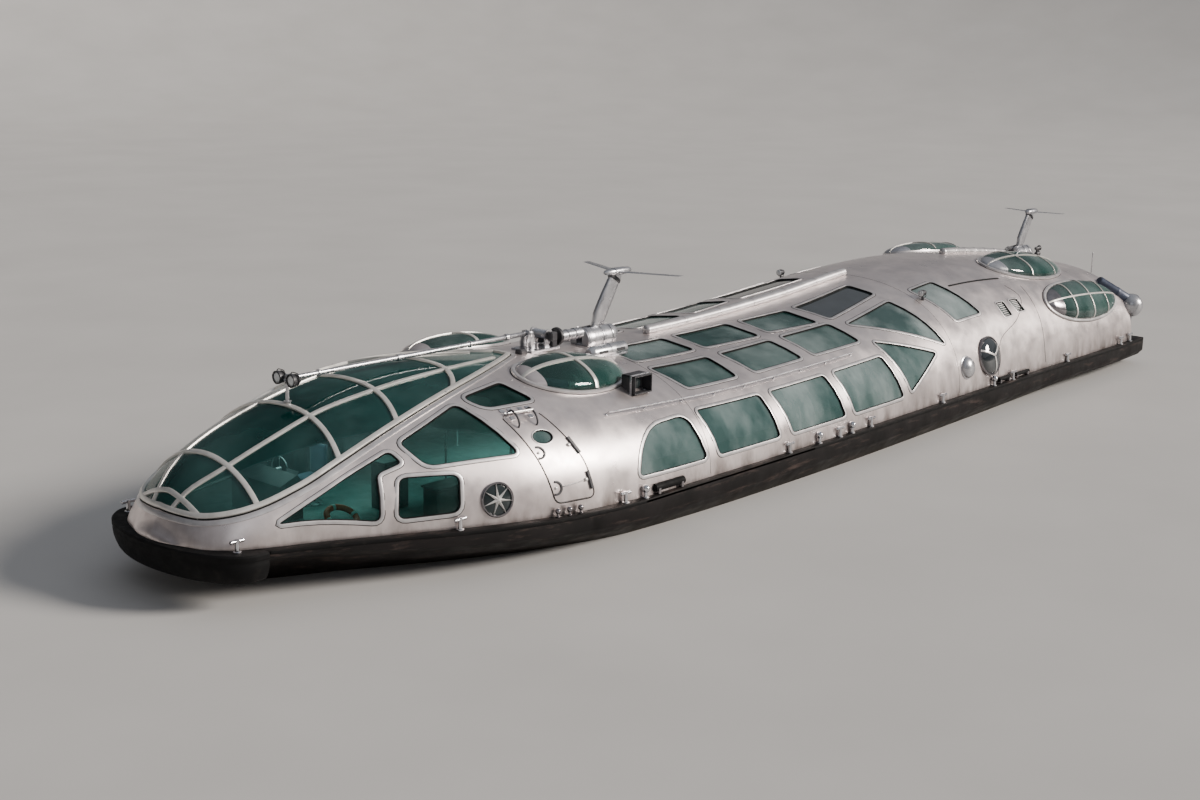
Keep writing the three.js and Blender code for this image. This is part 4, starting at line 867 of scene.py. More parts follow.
def skin_pieces():
    edges = (TRANSOM_X, *reversed(SEAMS_X), NOSE_X)
    for name, from_x, to_x in zip(("body_tail", "body_rear", "body_middle", "body_front"), edges, edges[1:]):
        skin = panel(name + "_skin", section(from_x, to_x), openings_between(from_x, to_x), [SKIN, LINING])
        finished(skin, [name], 0)


def end_cap(name, x, push, bend, rings=8):
    """A domed end over the body's first or last section. A bend of 0.5 makes it round, 1 a shallow bowl."""
    rim = on_body(np.full(49, x), np.linspace(0, 180, 49))
    centre = np.array((x, 0, deck_at(x) + GAP))
    rows = []
    for size in np.cos(np.arange(rings + 1) / rings * math.pi / 2):
        ring = centre + (rim - centre) * size
        ring[:, 0] = x + push * (1 - size ** 2) ** bend
        rows.append(ring)
    faces = net_faces(rings + 1, 49, caps=False, loop=False)
    if push < 0:
        faces = [tuple(reversed(f)) for f in faces]
    add_piece(name, [(np.concatenate(rows), faces)], SKIN, sharp=0)


skin_pieces()
end_cap("nose_cap", NOSE_X, 0.10, 1.0)
end_cap("transom_cap", TRANSOM_X + 0.002, -0.16, 0.5)


# Windows: glass, rims, gaskets, and round each rim a thin black strip that paints the shadow line at the rim's edge

def glass_of(window):
    if window == "crown_4":
        return DARK_GLASS
    return {"fron": FRONT_GLASS, "crow": ROOF_GLASS, "roof": ROOF_GLASS}.get(window[:4], SIDE_GLASS)


def window_group(name, windows, replaced):
    """Panes of (window, side) rows as one piece."""
    parts, slots, looks = [], [], []
    for window, (_, _, to_side) in windows:
        top, low, _, faces = sheets(grown(to_side(OUTLINES[window]), 0.012), (), -0.030, 0.012, 0.3)
        parts.append(shell(top, low, faces))
        look = glass_of(window)
        if look not in looks:
            looks.append(look)
        slots += [looks.index(look)] * len(parts[-1][1])
    finished(add_object(name, *merged(parts), looks, slots=slots), [replaced])


window_group("cabin_panes", [(w, s) for w in PANES if w not in FRONT_PANES for s in SIDES], "cabin_glass")
for side in SIDES:
    window_group("front_side_panes_" + side[0], [(w, side) for w in FRONT_PANES], "front_side_glass_" + side[0])


def bands(name, windows, distance, profile, look):
    """One band round each window, on both sides of the boat."""
    parts = [skin_band(f(grown(OUTLINES[w], distance)), profile) for w in windows for _, _, f in SIDES]
    add_piece(name, parts, look)


bands("window_rims", PANES, 0.045, bar_profile(0.036, 0.012), RIM)
bands("window_gaskets", OUTLINES, 0.001, bar_profile(0.010, 0.008, 0.035, 0.003), SEALANT_AND_SHADE)
# A raised black strip just outside each rim: painted shadow where the rim's edge meets the skin
bands("window_shadow_lines", PANES, 0.088, bar_profile(0.007, 0.003, 0.01, 0.001), SEALANT_AND_SHADE)


# Canopy over the bow. Each hoop: x of its feet, x of its crown. The rib runs from nose to tail

CANOPY_HOOPS = ((16.03, 16.04), (15.25, 15.24), (13.64, 13.43), (12.27, 11.90), (10.60, 9.90))
CANOPY_RIB = [(16.18, 68), (15.95, 69), (15.24, 68), (13.48, 74), (12.04, 76), (10.14, 80), (8.30, 86)]


def canopy():
    pane = panel("canopy_pane", ring_line(-0.004), [], [CANOPY_GLASS], depth=0.014, step=0.16)
    finished(pane, ["canopy_glass"], 0)
    trims = [ring_band(0.0, bar_profile(0.050, 0.050, 0.01, 0.016))]
    u = np.linspace(0, 1, 30)
    for foot_x, crown_x in CANOPY_HOOPS:
        foot = float(along(CANOPY_RING, 1, foot_x))
        hoop = np.stack([foot_x + (crown_x - foot_x) * np.sin(math.pi * u), foot + (180 - 2 * foot) * u], -1)
        trims.append(skin_band(hoop, bar_profile(0.050, 0.040, 0.01, 0.012), False))
    rib = smooth_path(np.array(CANOPY_RIB, float) * (1, NET_SCALE), 0.15) / (1, NET_SCALE)
    trims += [skin_band(f(rib), bar_profile(0.044, 0.036, 0.01, 0.010), False) for _, _, f in SIDES]
    add_piece("canopy_trim", trims, CREAM, ["canopy_frame"])
    # The black strip between the trim's edge and the border paints the shadow line there
    groove, border = bar_profile(0.014, 0.008, 0.01, 0.002), bar_profile(0.052, 0.016, 0.01, 0.006)
    add_piece("canopy_shadow_line", [ring_band(0.064, groove)], SEALANT_AND_SHADE, sharp=0)
    add_piece("canopy_border", [ring_band(0.135, border)], RIM)


canopy()


# Glazed domes

def dome_glass(place, inset=0.0, sides=48, rings=9):
    """A face of a dome's glass: the upper half of an ellipsoid on a short skirt."""
    length, width, height = (size - inset for size in place[2:])
    centre, ahead, across, out = frame_on_body(*place[:2])
    turn = turns(sides)[:, None]
    flat = length * np.cos(turn) * ahead + width * np.sin(turn) * across
    rows = [on_body(*ellipse(place, sides, -inset - 0.01).T) - 0.02 * out]
    rows += [centre + math.cos(a) * flat + height * math.sin(a) * out for a in math.pi / 2 * np.arange(rings) / rings]
    top = rings * sides
    faces = net_faces(rings + 1, sides, caps=False)
    faces += [(top + k, top + (k + 1) % sides, top + sides) for k in range(sides)]
    return np.concatenate([*rows, (centre + height * out)[None]]), faces


def over_dome(place, line, lift=0.004):
    """Points and normals over a dome for a line given as (ahead, across), each from -1 to 1."""
    centre, ahead, across, out = frame_on_body(*place[:2])
    _, _, length, width, height = place
    points, normals = [], []
    for u, v in line:
        w = math.sqrt(max(1 - u * u - v * v, 0.0))
        n = unit(u / length * ahead + v / width * across + max(w, 0.02) / height * out)
        points.append(centre + u * length * ahead + v * width * across + w * height * out + lift * n)
        normals.append(n)
    return np.array(points), np.array(normals)


def dome_nose(place, start, sides=18, rows=7):
    """The metal cap on a dome's forward end."""
    line = [(u, math.sqrt(1 - u * u) * math.sin(a)) for u in np.linspace(start, 0.995, rows)
            for a in np.linspace(-math.pi / 2, math.pi / 2, sides)]
    faces = [tuple(reversed(f)) for f in net_faces(rows, sides, caps=False, loop=False)]
    return shell(over_dome(place, line, 0.012)[0], over_dome(place, line, -0.004)[0], faces)


# Columns: hoops by their place ahead, where the cap starts, half a bar's width, the cap's look
DOME_TRIMS = {
    "dome_fwd": ((0.0,), 0.80, 0.048, SKIN),
    "dome_aft": ((-0.42, 0.30), 0.80, 0.024, STEEL),
    "dome_side": ((-0.48, 0.0, 0.48), 0.74, 0.024, HOOD),
}


def domes():
    for name, place in DOMES.items():
        hoops, nose, half, cap_look = DOME_TRIMS[name]
        points, faces = dome_glass(place)
        glass = shell(points, dome_glass(place, 0.014)[0], faces)
        collar = skin_band(ellipse(place, 56, 0.045), bar_profile(0.050, 0.062, 0.03, 0.022))
        # The black strip just outside the collar paints the shadow line at its edge
        groove = skin_band(ellipse(place, 56, 0.108), bar_profile(0.008, 0.004, 0.01, 0.001))
        lines = [[(u, v * math.sqrt(1 - u * u) * 0.995) for v in np.linspace(-1, 1, 25)] for u in hoops]
        lines.append([(u * 0.995, 0.0) for u in np.linspace(-1, 1, 41)])
        bars = [band(*over_dome(place, line), bar_profile(half, 0.018, 0.016, 0.005)) for line in lines]
        add_pair(name + "_pane_{}", [glass], DOME_GLASS, [name + "_{}"], sharp=50)
        for part, own, look in (("bars", bars, CREAM), ("collar", [collar], RIM),
                                ("cap", [dome_nose(place, nose)], cap_look)):
            add_pair(f"{name}_{part}_{{}}", own, look)
        add_pair(name + "_groove_{}", [groove], SEALANT_AND_SHADE, sharp=0)


domes()


# Portholes

def disc_rings(place, profile, sides=48, ring=False):
    """A turned piece over a porthole. The profile is (share of its size, height)."""
    centre, ahead, across, out = frame_on_body(*place[:2])
    turn = turns(sides)[:, None]
    flat = place[2] * np.cos(turn) * ahead + place[3] * np.sin(turn) * across
    return np.concatenate([centre + r * flat + h * out for r, h in profile]), net_faces(len(profile), sides, ring=ring)


STAR_RAYS = 7
STAR_TURN = 0.3


def star_plate(place, root, tip, low, high):
    """A raised star of tapered rays, each with a ridge from the middle to its tip."""
    centre, ahead, across, out = frame_on_body(*place[:2])
    count = 2 * STAR_RAYS
    flat = [r * (place[2] * math.cos(t) * ahead + place[3] * math.sin(t) * across)
            for r, t in zip([tip, root] * STAR_RAYS, STAR_TURN + np.arange(count) * math.pi / STAR_RAYS)]
    edge = [centre + p + (low - 0.006 * (k % 2 == 0)) * out for k, p in enumerate(flat)]
    faces = [(0, 1 + k, 1 + (k + 1) % count) for k in range(count)]
    faces += [(1 + k, 1 + count + k, 1 + count + (k + 1) % count, 1 + (k + 1) % count) for k in range(count)]
    faces.append(tuple(range(2 * count, count, -1)))
    return np.array([centre + high * out, *edge, *[centre + p for p in flat]]), faces


def portholes():
    quarter = np.linspace(0, math.pi / 2 * 0.985, 10)
    disc = disc_rings(STAR, [(0.92, -0.05), (0.95, 0.004), (0.80, 0.020), (0.45, 0.030), (0.02, 0.034)])
    rim = disc_rings(STAR, [(1.00, -0.06), (1.10, 0.0), (1.10, 0.026), (1.06, 0.040), (0.99, 0.040), (0.95, 0.024),
                            (0.95, -0.06)], ring=True)
    bulge = disc_rings(BALL, [(1.0, -0.05)] + [(math.cos(a), 0.17 * math.sin(a) + 0.004) for a in quarter])
    collar = disc_rings(BALL, [(1.0, -0.06), (1.10, 0.0), (1.10, 0.035), (1.07, 0.050), (1.01, 0.050), (0.98, 0.03),
                               (0.98, -0.06)], ring=True)
    bars = [band(*over_dome(BALL, [(r * math.cos(t), r * math.sin(t)) for r in np.linspace(0.03, 0.985, 14)]),
                 bar_profile(0.026, 0.014, 0.010, 0.004)) for t in np.radians((-25, 100, 215))]
    boss = disc_rings(BOSS, [(1.12, -0.02), (1.10, 0.010), (1.0, 0.022)] + [
        (math.cos(a), 0.03 + 0.165 * math.sin(a)) for a in np.linspace(0.08, math.pi / 2 * 0.98, 10)], 36)
    add_pair("star_disc_{}", [disc], BLACK_LENS, ())
    add_pair("star_rim_{}", [rim], HOOD, ["porthole_fwd_{}"])
    add_pair("star_rays_{}", [star_plate(STAR, 0.21, 0.985, 0.040, 0.085)], PAINTED_SHINE_STEEL, ())
    add_pair("ball_pane_{}", [bulge], DARK_GLASS, ["porthole_aft_{}"])
    add_pair("ball_collar_{}", [collar], HOOD, ())
    add_pair("ball_bars_{}", bars, PAINTED_SHINE_STEEL, ())
    add_pair("side_boss_cover_{}", [boss], STEEL, ["side_boss_{}"])


portholes()


# Side doors

HINGE_ANGLE = 46.2
HINGE_LIFT = 0.042
HINGE_X = (9.43, 10.31)
# Each knuckle: its start and end as shares of the hinge
BODY_KNUCKLES = ((0.1, 0.19), (0.31, 0.4), (0.6, 0.69), (0.81, 0.9))
DOOR_KNUCKLES = ((0.191, 0.309), (0.691, 0.809))
GRIPS = ((9.98, 26), (9.80, 10))
LATCHES = ([(9.14, 31.0), (9.08, 27.0), (9.01, 23.2)], [(8.96, 15.0), (8.93, 11.0), (8.90, 7.4)])


def knuckles(places, leaf_degrees):
    """Knuckles of the hinge, each with a small leaf on the skin."""
    aft, fwd = (lifted(np.array(x), np.array(HINGE_ANGLE), np.array(HINGE_LIFT)) for x in HINGE_X)
    parts = []
    for start, end in places:
        from_, axis = aft + start * (fwd - aft), (end - start) * (fwd - aft)
        parts.append(lathe(disc_profile(0.024, np.linalg.norm(axis), (0.006, 0.004)), from_, axis, 16))
        middle_x = from_[0] + axis[0] / 2
        top, normals = on_skin(np.array([(middle_x + a, leaf_degrees + b) for a, b in (
            (-0.05, -0.9), (0.05, -0.9), (0.05, 0.9), (-0.05, 0.9))]), 0.012)
        parts.append(prism(top, top - 0.02 * normals))
    return parts


def below_hinge(outline):
    """The run of a door's outline that leaves out its edge under the hinge."""
    kept = outline[:, 1] < HINGE_ANGLE - 1.6
    first = int(np.argmax(kept & ~np.roll(kept, 1)))
    return np.roll(outline, -first, axis=0)[:kept.sum()]


def stud(x, degrees, radius, height):
    """A domed stud on the skin."""
    place, _, _, out = frame_on_body(x, degrees)
    return lathe([(radius * 1.25, -0.01), (radius * 1.25, 0.008), (radius, 0.012), (radius, height * 0.6),
                  (radius * 0.8, height * 0.9), (radius * 0.3, height)], place, out, 20)


def doors():
    rim = skin_band(ellipse(DOOR_WINDOW, 36, 0.016), bar_profile(0.014, 0.010))
    gasket = skin_band(ellipse(DOOR_WINDOW, 36, -0.004), bar_profile(0.007, 0.010, 0.03, 0.002))
    # A pin on each latch and grip, the rod between the lower ones, and the bar across the hinge arms
    rod = lifted_path([(9.60, 10.4), (9.58, 10.4), (9.14, 11.2), (9.12, 11.2)], [0.0, 0.035, 0.035, 0.0], 0.03)
    bar = lifted_path([(9.66, 44.4), (10.10, 44.4)], [0.150, 0.150], 0.05)
    bright = [stud(9.20, 27.5, 0.034, 0.05), stud(9.03, 11.4, 0.034, 0.05), *[stud(*g, 0.022, 0.035) for g in GRIPS],
              pipe(rod, 0.011, 10), pipe(bar, 0.028)]
    dark = []
    for x, degrees in GRIPS:
        crescent = [(x + a, degrees + b / float(degree_length(x))) for a, b in arc(0.14, *np.radians((85, 285)), 17)]
        dark.append(skin_band(crescent, bar_profile(0.022, 0.020, 0.008, 0.005), False))
    dark += [skin_band(line, bar_profile(0.034, 0.045, 0.008, 0.006), False) for line in LATCHES]
    for x in (10.10, 9.66):
        arm = lifted_path([(x, t) for t in (46.6, 46.2, 44.4, 41.4, 39.4, 39.0)],
                          [0.040, 0.110, 0.150, 0.130, 0.060, -0.01], 0.03)
        dark.append(pipe(arm, 0.019, 10))
    window, door = ellipse(DOOR_WINDOW, 36), grown(DOOR, -DOOR_GAP)
    for side, _, f in SIDES:
        body = f"door_{side}_body"
        leaf = panel(f"door_{side}_leaf", f(door), [f(window)], [SKIN, LINING], body=body, step=0.12)
        finished(leaf, [f"door_{side}"], 0)
        pane = panel(f"door_{side}_pane", f(ellipse(DOOR_WINDOW, 36, 0.006)), [], [SIDE_GLASS], -0.022, 0.012,
                     0.08, body)
        finished(pane, [f"door_glass_{side}"], 0)
        seal = skin_band(f(below_hinge(grown(DOOR, 0.012))), bar_profile(0.010, 0.004, 0.012, 0.001), False)
        add_piece(f"door_{side}_seal", [seal], SEALANT_AND_SHADE, sharp=0)
    for name, parts, look, slot in (("rim", [rim], RIM, "body_silver"), ("gasket", [gasket], SEALANT_AND_SHADE, "fitting_dark"),
                                    ("pins", bright, PAINTED_SHINE_STEEL, "fitting_steel"), ("grips", dark, DARK, "fitting_dark"),
                                    ("hinge", knuckles(DOOR_KNUCKLES, HINGE_ANGLE - 2.4), STEEL, "fitting_steel")):
        add_pair("door_{}_" + name, parts, look, body="door_{}_body")
    add_pair("door_{}_knuckles", knuckles(BODY_KNUCKLES, HINGE_ANGLE + 2), STEEL)


doors()


# Hull

def hull_section(x):
    """Half a hull section from the keel to the deck's edge, as (y, z)."""
    keel_z, bilge_y, bilge_z, water_y, water_z, band_y, deck_y = (float(along(HULL, c, x)) for c in range(1, 8))
    deck_y, deck = min(deck_y, WIDEST), deck_at(x)
    band_z, turn_out = deck - BAND_DEPTH, deck_y - band_y
    rise = 0.09 + 0.35 * turn_out
    low = smooth_path([(0, keel_z), (bilge_y * 0.8, 0.8 * bilge_z + 0.2 * keel_z), (bilge_y, bilge_z),
                       (water_y, water_z), (band_y, band_z)], 1e9)
    return [*low, (band_y + 0.25 * turn_out, band_z + 0.35 * rise), (band_y + 0.8 * turn_out, band_z + 0.85 * rise),
            (deck_y, band_z + rise + 0.02), (deck_y, deck - 0.03), (deck_y - 0.009, deck - 0.009),
            (deck_y - 0.03, deck)]


def hull():
    rows = []
    for x in np.concatenate([np.linspace(-16.60, 7.5, 50), np.linspace(7.5, 16.25, 50)[1:]]):
        half = hull_section(x)
        rows.append([(x, y, z) for y, z in half] + [(x, -y, z) for y, z in half[:0:-1]])
    add_piece("hull_shell", [solid(rows)], HULL_PAINT, ["hull"], sharp=40)
    # The rubbing strake on the black band
    drop, half, out = 0.055, 0.028, 0.016
    line = [(x, min(deck_edge(x), WIDEST - out), deck_at(x) - drop) for x in np.linspace(-16.55, 15.3, 120)]
    strake = band(line, np.tile(Y, (120, 1)), bar_profile(half, out, 0.01, 0.008))
    add_piece("hull_strakes", on_both([strake]), FENDER)


hull()

FENDER_BOW_X, FENDER_MIDDLE_X, FENDER_AFT_X = 16.65, 15.60, 15.39
# Columns: share of the half width, x in from the bow, z under the deck
FENDER_LEVELS = (
    (0.985, 0.03, 0.0), (1.0, 0, -0.03), (1.0, 0, -0.10), (0.993, 0.012, -0.12), (0.993, 0.012, -0.17),
    (0.996, 0.008, -0.19), (0.99, 0.02, -0.28), (0.975, 0.05, -0.38), (0.95, 0.09, -0.48), (0.92, 0.13, -0.54))


def fender():
    """The wrap-round fender at the bow."""
    rows = []
    for scale, set_in, drop in FENDER_LEVELS:
        reach = FENDER_BOW_X - set_in - FENDER_MIDDLE_X
        ring = [(FENDER_MIDDLE_X + reach * math.cos(t), 2.05 * scale * math.sin(t))
                for t in np.linspace(-math.pi / 2, math.pi / 2, 49)]
        ring = [(FENDER_AFT_X, -2.03 * scale), *ring, (FENDER_AFT_X, 2.03 * scale)]
        rows.append([(x, y, deck_at(x) + drop) for x, y in ring])
    add_piece("bow_fender_rubber", [solid(rows)], FENDER, ["bow_fender"])


fender()

BOLLARDS_X = (11.89, 8.05, 7.44, 2.46, 1.29, 0.45, -0.07, -0.91, -4.34, -7.08, -8.15, -11.47, -15.00, -15.70)
BALL_POSTS_X = (7.44, 1.29, -0.07, -7.08)
BOW_BOLLARD = (15.83, 1.69)


def bollard(x, y):
    """A post with a ball on top, or with a short crossbar."""
    foot, place = [(0.075, 0), (0.075, 0.016), (0.045, 0.026), (0.040, 0.12)], (x, y, deck_at(x))
    if x in BALL_POSTS_X:
        return [lathe(foot + arc(0.085, -1.0, 1.5, 9, 0.19), place, Z, 18)]
    return [lathe(foot + [(0.040, 0.18), (0.048, 0.235), (0.025, 0.242)], place, Z, 16),
            lathe([(0.018, 0), (0.034, 0.012), (0.031, 0.15), (0.034, 0.288), (0.018, 0.30)],
                  (x - 0.15, y, deck_at(x) + 0.205), X, 14)]


def bollards():
    places = [(x, min(deck_edge(x) - 0.095, WIDEST - 0.10)) for x in BOLLARDS_X] + [BOW_BOLLARD]
    add_piece("bollards", on_both([part for place in places for part in bollard(*place)]), CHROME)


bollards()

# Columns: from x, to x, radius, set-in from the deck's edge of the dark rollers on the side deck
DECK_ROLLERS = ((7.15, 6.20, 0.085, 0.14), (-7.35, -8.00, 0.060, 0.12), (-8.30, -9.10, 0.050, 0.12))
DOOR_POSTS_X = (9.86, 9.58, 9.30)


def deck_gear():
    """Dark rollers in cradles along the side deck, and the small posts below the door."""
    rollers, cradles = [], []
    for start, end, radius, set_in in DECK_ROLLERS:
        foot = radius + 0.05
        aft, fwd = (np.array((x, deck_edge(x) - set_in, deck_at(x) + foot)) for x in (end, start))
        axis = fwd - aft
        rollers.append(lathe(disc_profile(radius, float(np.linalg.norm(axis)), (radius * 0.5, 0.02)), aft, axis, 20))
        cradles += [block((0.07, 2.1 * radius, foot), aft + u * axis - (0, 0, foot / 2)) for u in (0.12, 0.88)]
    post = [(0.05, 0), (0.05, 0.02), (0.025, 0.03), (0.025, 0.08), *arc(0.06, -1.0, 1.5, 8, 0.12)]
    cradles += [lathe(post, (x, deck_edge(x) - 0.10, deck_at(x)), Z, 16) for x in DOOR_POSTS_X]
    add_piece("deck_rollers", on_both(rollers), FENDER)
    add_piece("deck_cradles", on_both(cradles), HOOD)


deck_gear()


# Roof gear

MAST_FWD = dict(x=4.80, pivot_z=3.33, head=(4.00, 4.61), span=1.45, sweep=0.65, pod_half=0.45)
MAST_AFT = dict(x=-14.90, pivot_z=3.29, head=(-15.62, 4.42), span=1.00, sweep=0.30, pod_half=0.33)
# Columns: share of the length, half width, half height
STRUT = ((0.0, 0.058, 0.082), (0.18, 0.068, 0.150), (0.24, 0.070, 0.200), (0.6, 0.068, 0.196), (0.97, 0.062, 0.165))
CLAMP = ((0.85, 0.072, 0.180), (0.86, 0.080, 0.192), (0.90, 0.080, 0.190), (0.91, 0.072, 0.176))
# Columns: place ahead of the middle, size
POD = ((-0.99, 0.25), (-0.94, 0.55), (-0.8, 0.80), (-0.4, 0.98), (0.1, 1.0), (0.5, 0.90), (0.8, 0.66), (0.95, 0.36),
       (0.99, 0.15))
POD_SEAM = ((0, 0.112), (0.004, 0.122), (0.030, 0.122), (0.034, 0.112))
# Columns: share of the chord, share of the thickness
WING = ((0, 0), (0.12, 0.9), (0.4, 1.0), (0.8, 0.5), (1, 0), (0.8, -0.5), (0.4, -1.0), (0.12, -0.9))


def blended_box(stations, power):
    """A rounded box through stations: place, half width across, half height and the up direction."""
    c, s = np.cos(turns(20)), np.sin(turns(20))
    across = (np.sign(c) * np.abs(c) ** (2 / power))[:, None] * Y
    over = (np.sign(s) * np.abs(s) ** (2 / power))[:, None]
    return solid([np.asarray(place) + half_y * across + half_n * over * up for place, half_y, half_n, up in stations])


def mast(name, m):
    """A leaning strut with a streamlined head and two thin swept wings."""
    pivot, head = np.array((m["x"], 0, m["pivot_z"])), np.array((m["head"][0], 0, m["head"][1]))
    rise, half = head - pivot, m["pod_half"]
    lean = unit(rise)
    up = np.array((-lean[2], 0, lean[0]))
    strut, clamp = (blended_box([(pivot + rise * u, w, h, up) for u, w, h in rows], 3.4) for rows in (STRUT, CLAMP))
    eye = lathe(disc_profile(0.095, 0.150, (0.010, 0.008)), pivot - (0, 0.075, 0), Y, 28)
    pod = blended_box([(head + (half * u, 0, 0), 0.118 * w, 0.088 * w, np.array(Z)) for u, w in POD], 2.4)
    seam = blended_box([(head + (0.12 + u, 0, 0), w, w * 0.74, np.array(Z)) for u, w in POD_SEAM], 2.4)
    wings = []
    for side in (1, -1):
        rows = []
        for u in np.linspace(0, 1, 9):
            lead, trail = 0.15 - 0.9 * m["sweep"] * u, -0.11 + (0.11 - m["sweep"]) * u
            thick = 0.013 * (1 - 0.65 * u)
            rows.append([head + (lead + (trail - lead) * c, side * m["span"] * u, thick * t) for c, t in WING])
        wings.append(solid(rows))
    add_piece(name + "_strut", [strut, eye, pod, seam, *wings], STEEL, [name], name + "_body")
    add_piece(name + "_clamp", [clamp], DARK, body=name + "_body")


DRUM_RADIUS, DRUM_DROP, DRUM_SLOT = 0.29, 0.15, 0.086
# Columns: share of the length, share of the radius
DRUM = ((0.5, 0.86), (0.49, 0.96), (0.47, 1.0), (0.2, 1.0), (-0.2, 1.0), (-0.5, 1.0))


def mast_base(name, m, length):
    """A drum along the roof with a slot and two lugs for the mast's axle, and a round end behind."""
    x, z = m["x"], m["pivot_z"]
    drum_z = z - DRUM_DROP
    halves, lugs, hoops = [], [], []
    reach = DRUM + tuple((-0.5 - DRUM_RADIUS / length * math.sin(a), math.cos(a)) for a in np.linspace(0.2, 1.45, 8))
    for side in (1, -1):
        lugs.append(lathe([(0.095, 0), (0.11, 0.010), (0.11, 0.050), (0.095, 0.060)],
                          (x, 0.085 if side > 0 else -0.145, z), Y, 28))
        lugs.append(lathe([(0.050, 0), (0.060, 0.004), (0.060, 0.022), (0.040, 0.030)], (x, side * 0.145, z),
                          (0, side, 0), 20))
        rows = []
        for u, share in reach:
            radius = DRUM_RADIUS * share
            start = math.asin(min(DRUM_SLOT, radius * 0.95) / radius)
            rows.append([(x + u * length, side * radius * math.sin(a), drum_z + radius * math.cos(a))
                         for a in np.linspace(start, math.pi - start, 20)])
        halves.append(solid(rows))
    axle = lathe([(0.045, 0), (0.045, 0.28)], (x, -0.14, z), Y, 20)
    keel = block((length * 1.02, 0.20, 0.12), (x - 0.02, 0, drum_z - 0.14), 0.02)
    for u, side in itertools.product((0.42, -0.10, -0.44), (1, -1)):
        normals = np.array([(0, side * math.sin(a), math.cos(a)) for a in np.linspace(0.40, math.pi - 0.40, 15)])
        points = (x + u * length, 0, drum_z) + (DRUM_RADIUS + 0.001) * normals
        hoops.append(outward(band(points, normals, bar_profile(0.020, 0.014, 0.006, 0.004))))
    add_piece(name + "_drum", [*halves, *lugs, axle, keel, *hoops], STEEL, [name])


mast("mast_fwd", MAST_FWD)
mast("mast_aft", MAST_AFT)
mast_base("mast_fwd_base", MAST_FWD, 0.90)
mast_base("mast_aft_base", MAST_AFT, 0.80)

# Columns: node, from x, to x, lift of the centre over the crown
DUCTS = (("roof_duct_fwd", 2.90, -5.20, 0.07), ("roof_duct_aft", -10.40, -13.95, 0.06))
DUCT_RADIUS = 0.12


def hoop(x, z, radius, from_, to, count, profile):
    """A flat band round a drum that lies along the boat."""
    normals = np.array([(0, math.cos(a), math.sin(a)) for a in np.linspace(from_, to, count)])
    return outward(band((x, 0, z) + radius * normals, normals, profile))


def roof_ducts():
    """Silver ducts that lie along the crown, with round ends."""
    for name, from_x, to_x, lift in DUCTS:
        line = np.array([(x, 0, crown_z(x) + lift) for x in np.linspace(from_x, to_x, 40)])
        dome = [(r, 0.8 * h) for r, h in arc(DUCT_RADIUS, 0, 1.5, 8)]
        parts = [outward(band(line, np.tile((0, 0, 1.0), (40, 1)), round_profile(DUCT_RADIUS, 20)))]
        parts += [outward(lathe(dome, place, axis, 20))
                  for place, axis in ((line[0], line[0] - line[1]), (line[-1], line[-1] - line[-2]))]
        clip = bar_profile(0.025, 0.008, 0.006, 0.003)
        parts += [hoop(x, crown_z(x) + lift, DUCT_RADIUS, -0.25, math.pi + 0.25, 19, clip)
                  for x in np.linspace(from_x, to_x, 7)[1:-1]]
        add_piece(name + "_tube", parts, RIM, [name])


roof_ducts()

BOOM_X, BOOM_Z, BOOM_TIP, BOOM_RADIUS, LAMP_Y = 6.90, 3.56, 13.35, 0.045, 0.21
LAMP_HOUSING = [(0.035, -0.09), (0.075, -0.085), (0.098, -0.05), (0.104, 0.0), (0.122, 0.03), (0.130, 0.06),
                (0.130, 0.110), (0.112, 0.118), (0.108, 0.085)]
YOKE = ((-0.125, -0.02), (-0.138, 0.02), (-0.10, 0.128), (0, 0.143), (0.10, 0.128), (0.138, 0.02), (0.125, -0.02))


def lamp_boom():
    body = "lamp_boom_body"
    pole = [(0.040, 0.05), (0.053, 0.07), (0.052, 1.6), (0.050, 3.0), (0.048, 4.6), (BOOM_RADIUS, BOOM_TIP - BOOM_X)]
    steel = [lathe(pole, (BOOM_X, 0, BOOM_Z), X, 20),
             lathe(disc_profile(0.062, 0.120, (0.008, 0.008)), (BOOM_X, -0.06, BOOM_Z), Y),
             *[lathe([(0.052, 0), (0.071, 0.008), (0.071, wide - 0.008), (0.052, wide)], (x, 0, BOOM_Z), X, 20)
               for x, wide in ((10.50, 0.15), (8.6, 0.06), (12.6, 0.05), (7.5, 0.10))],
             lathe(disc_profile(0.034, 0.42, (0.006, 0.008)), (BOOM_TIP, -LAMP_Y, BOOM_Z), Y, 18),
             block((0.16, 0.12, 0.16), (BOOM_TIP - 0.04, 0, BOOM_Z), 0.02)]
    housings, lenses = [], []
    for y in (LAMP_Y, -LAMP_Y):
        place = np.array((BOOM_TIP, y, BOOM_Z))
        housings.append(lathe(LAMP_HOUSING, place, X, 28))
        housings += [lathe([(0.10, d), (0.118, d + 0.003), (0.118, d + 0.010), (0.10, d + 0.013)], place, X, 28)
                     for d in (-0.03, 0.005, 0.04)]
        housings.append(pipe(smooth_path([place + (0, a, b) for a, b in YOKE], 0.03), 0.009, 8))
        lenses.append(lathe([(0.107, 0.080), (0.107, 0.092), (0.070, 0.103), (0.010, 0.108)], place, X, 28))
    add_piece("lamp_boom_pole", steel, STEEL, ["lamp_boom"], body)
    add_piece("lamp_boom_housings", housings, DARK, body=body)
    add_piece("lamp_boom_lenses", lenses, LENS, body=body, sharp=0)


lamp_boom()

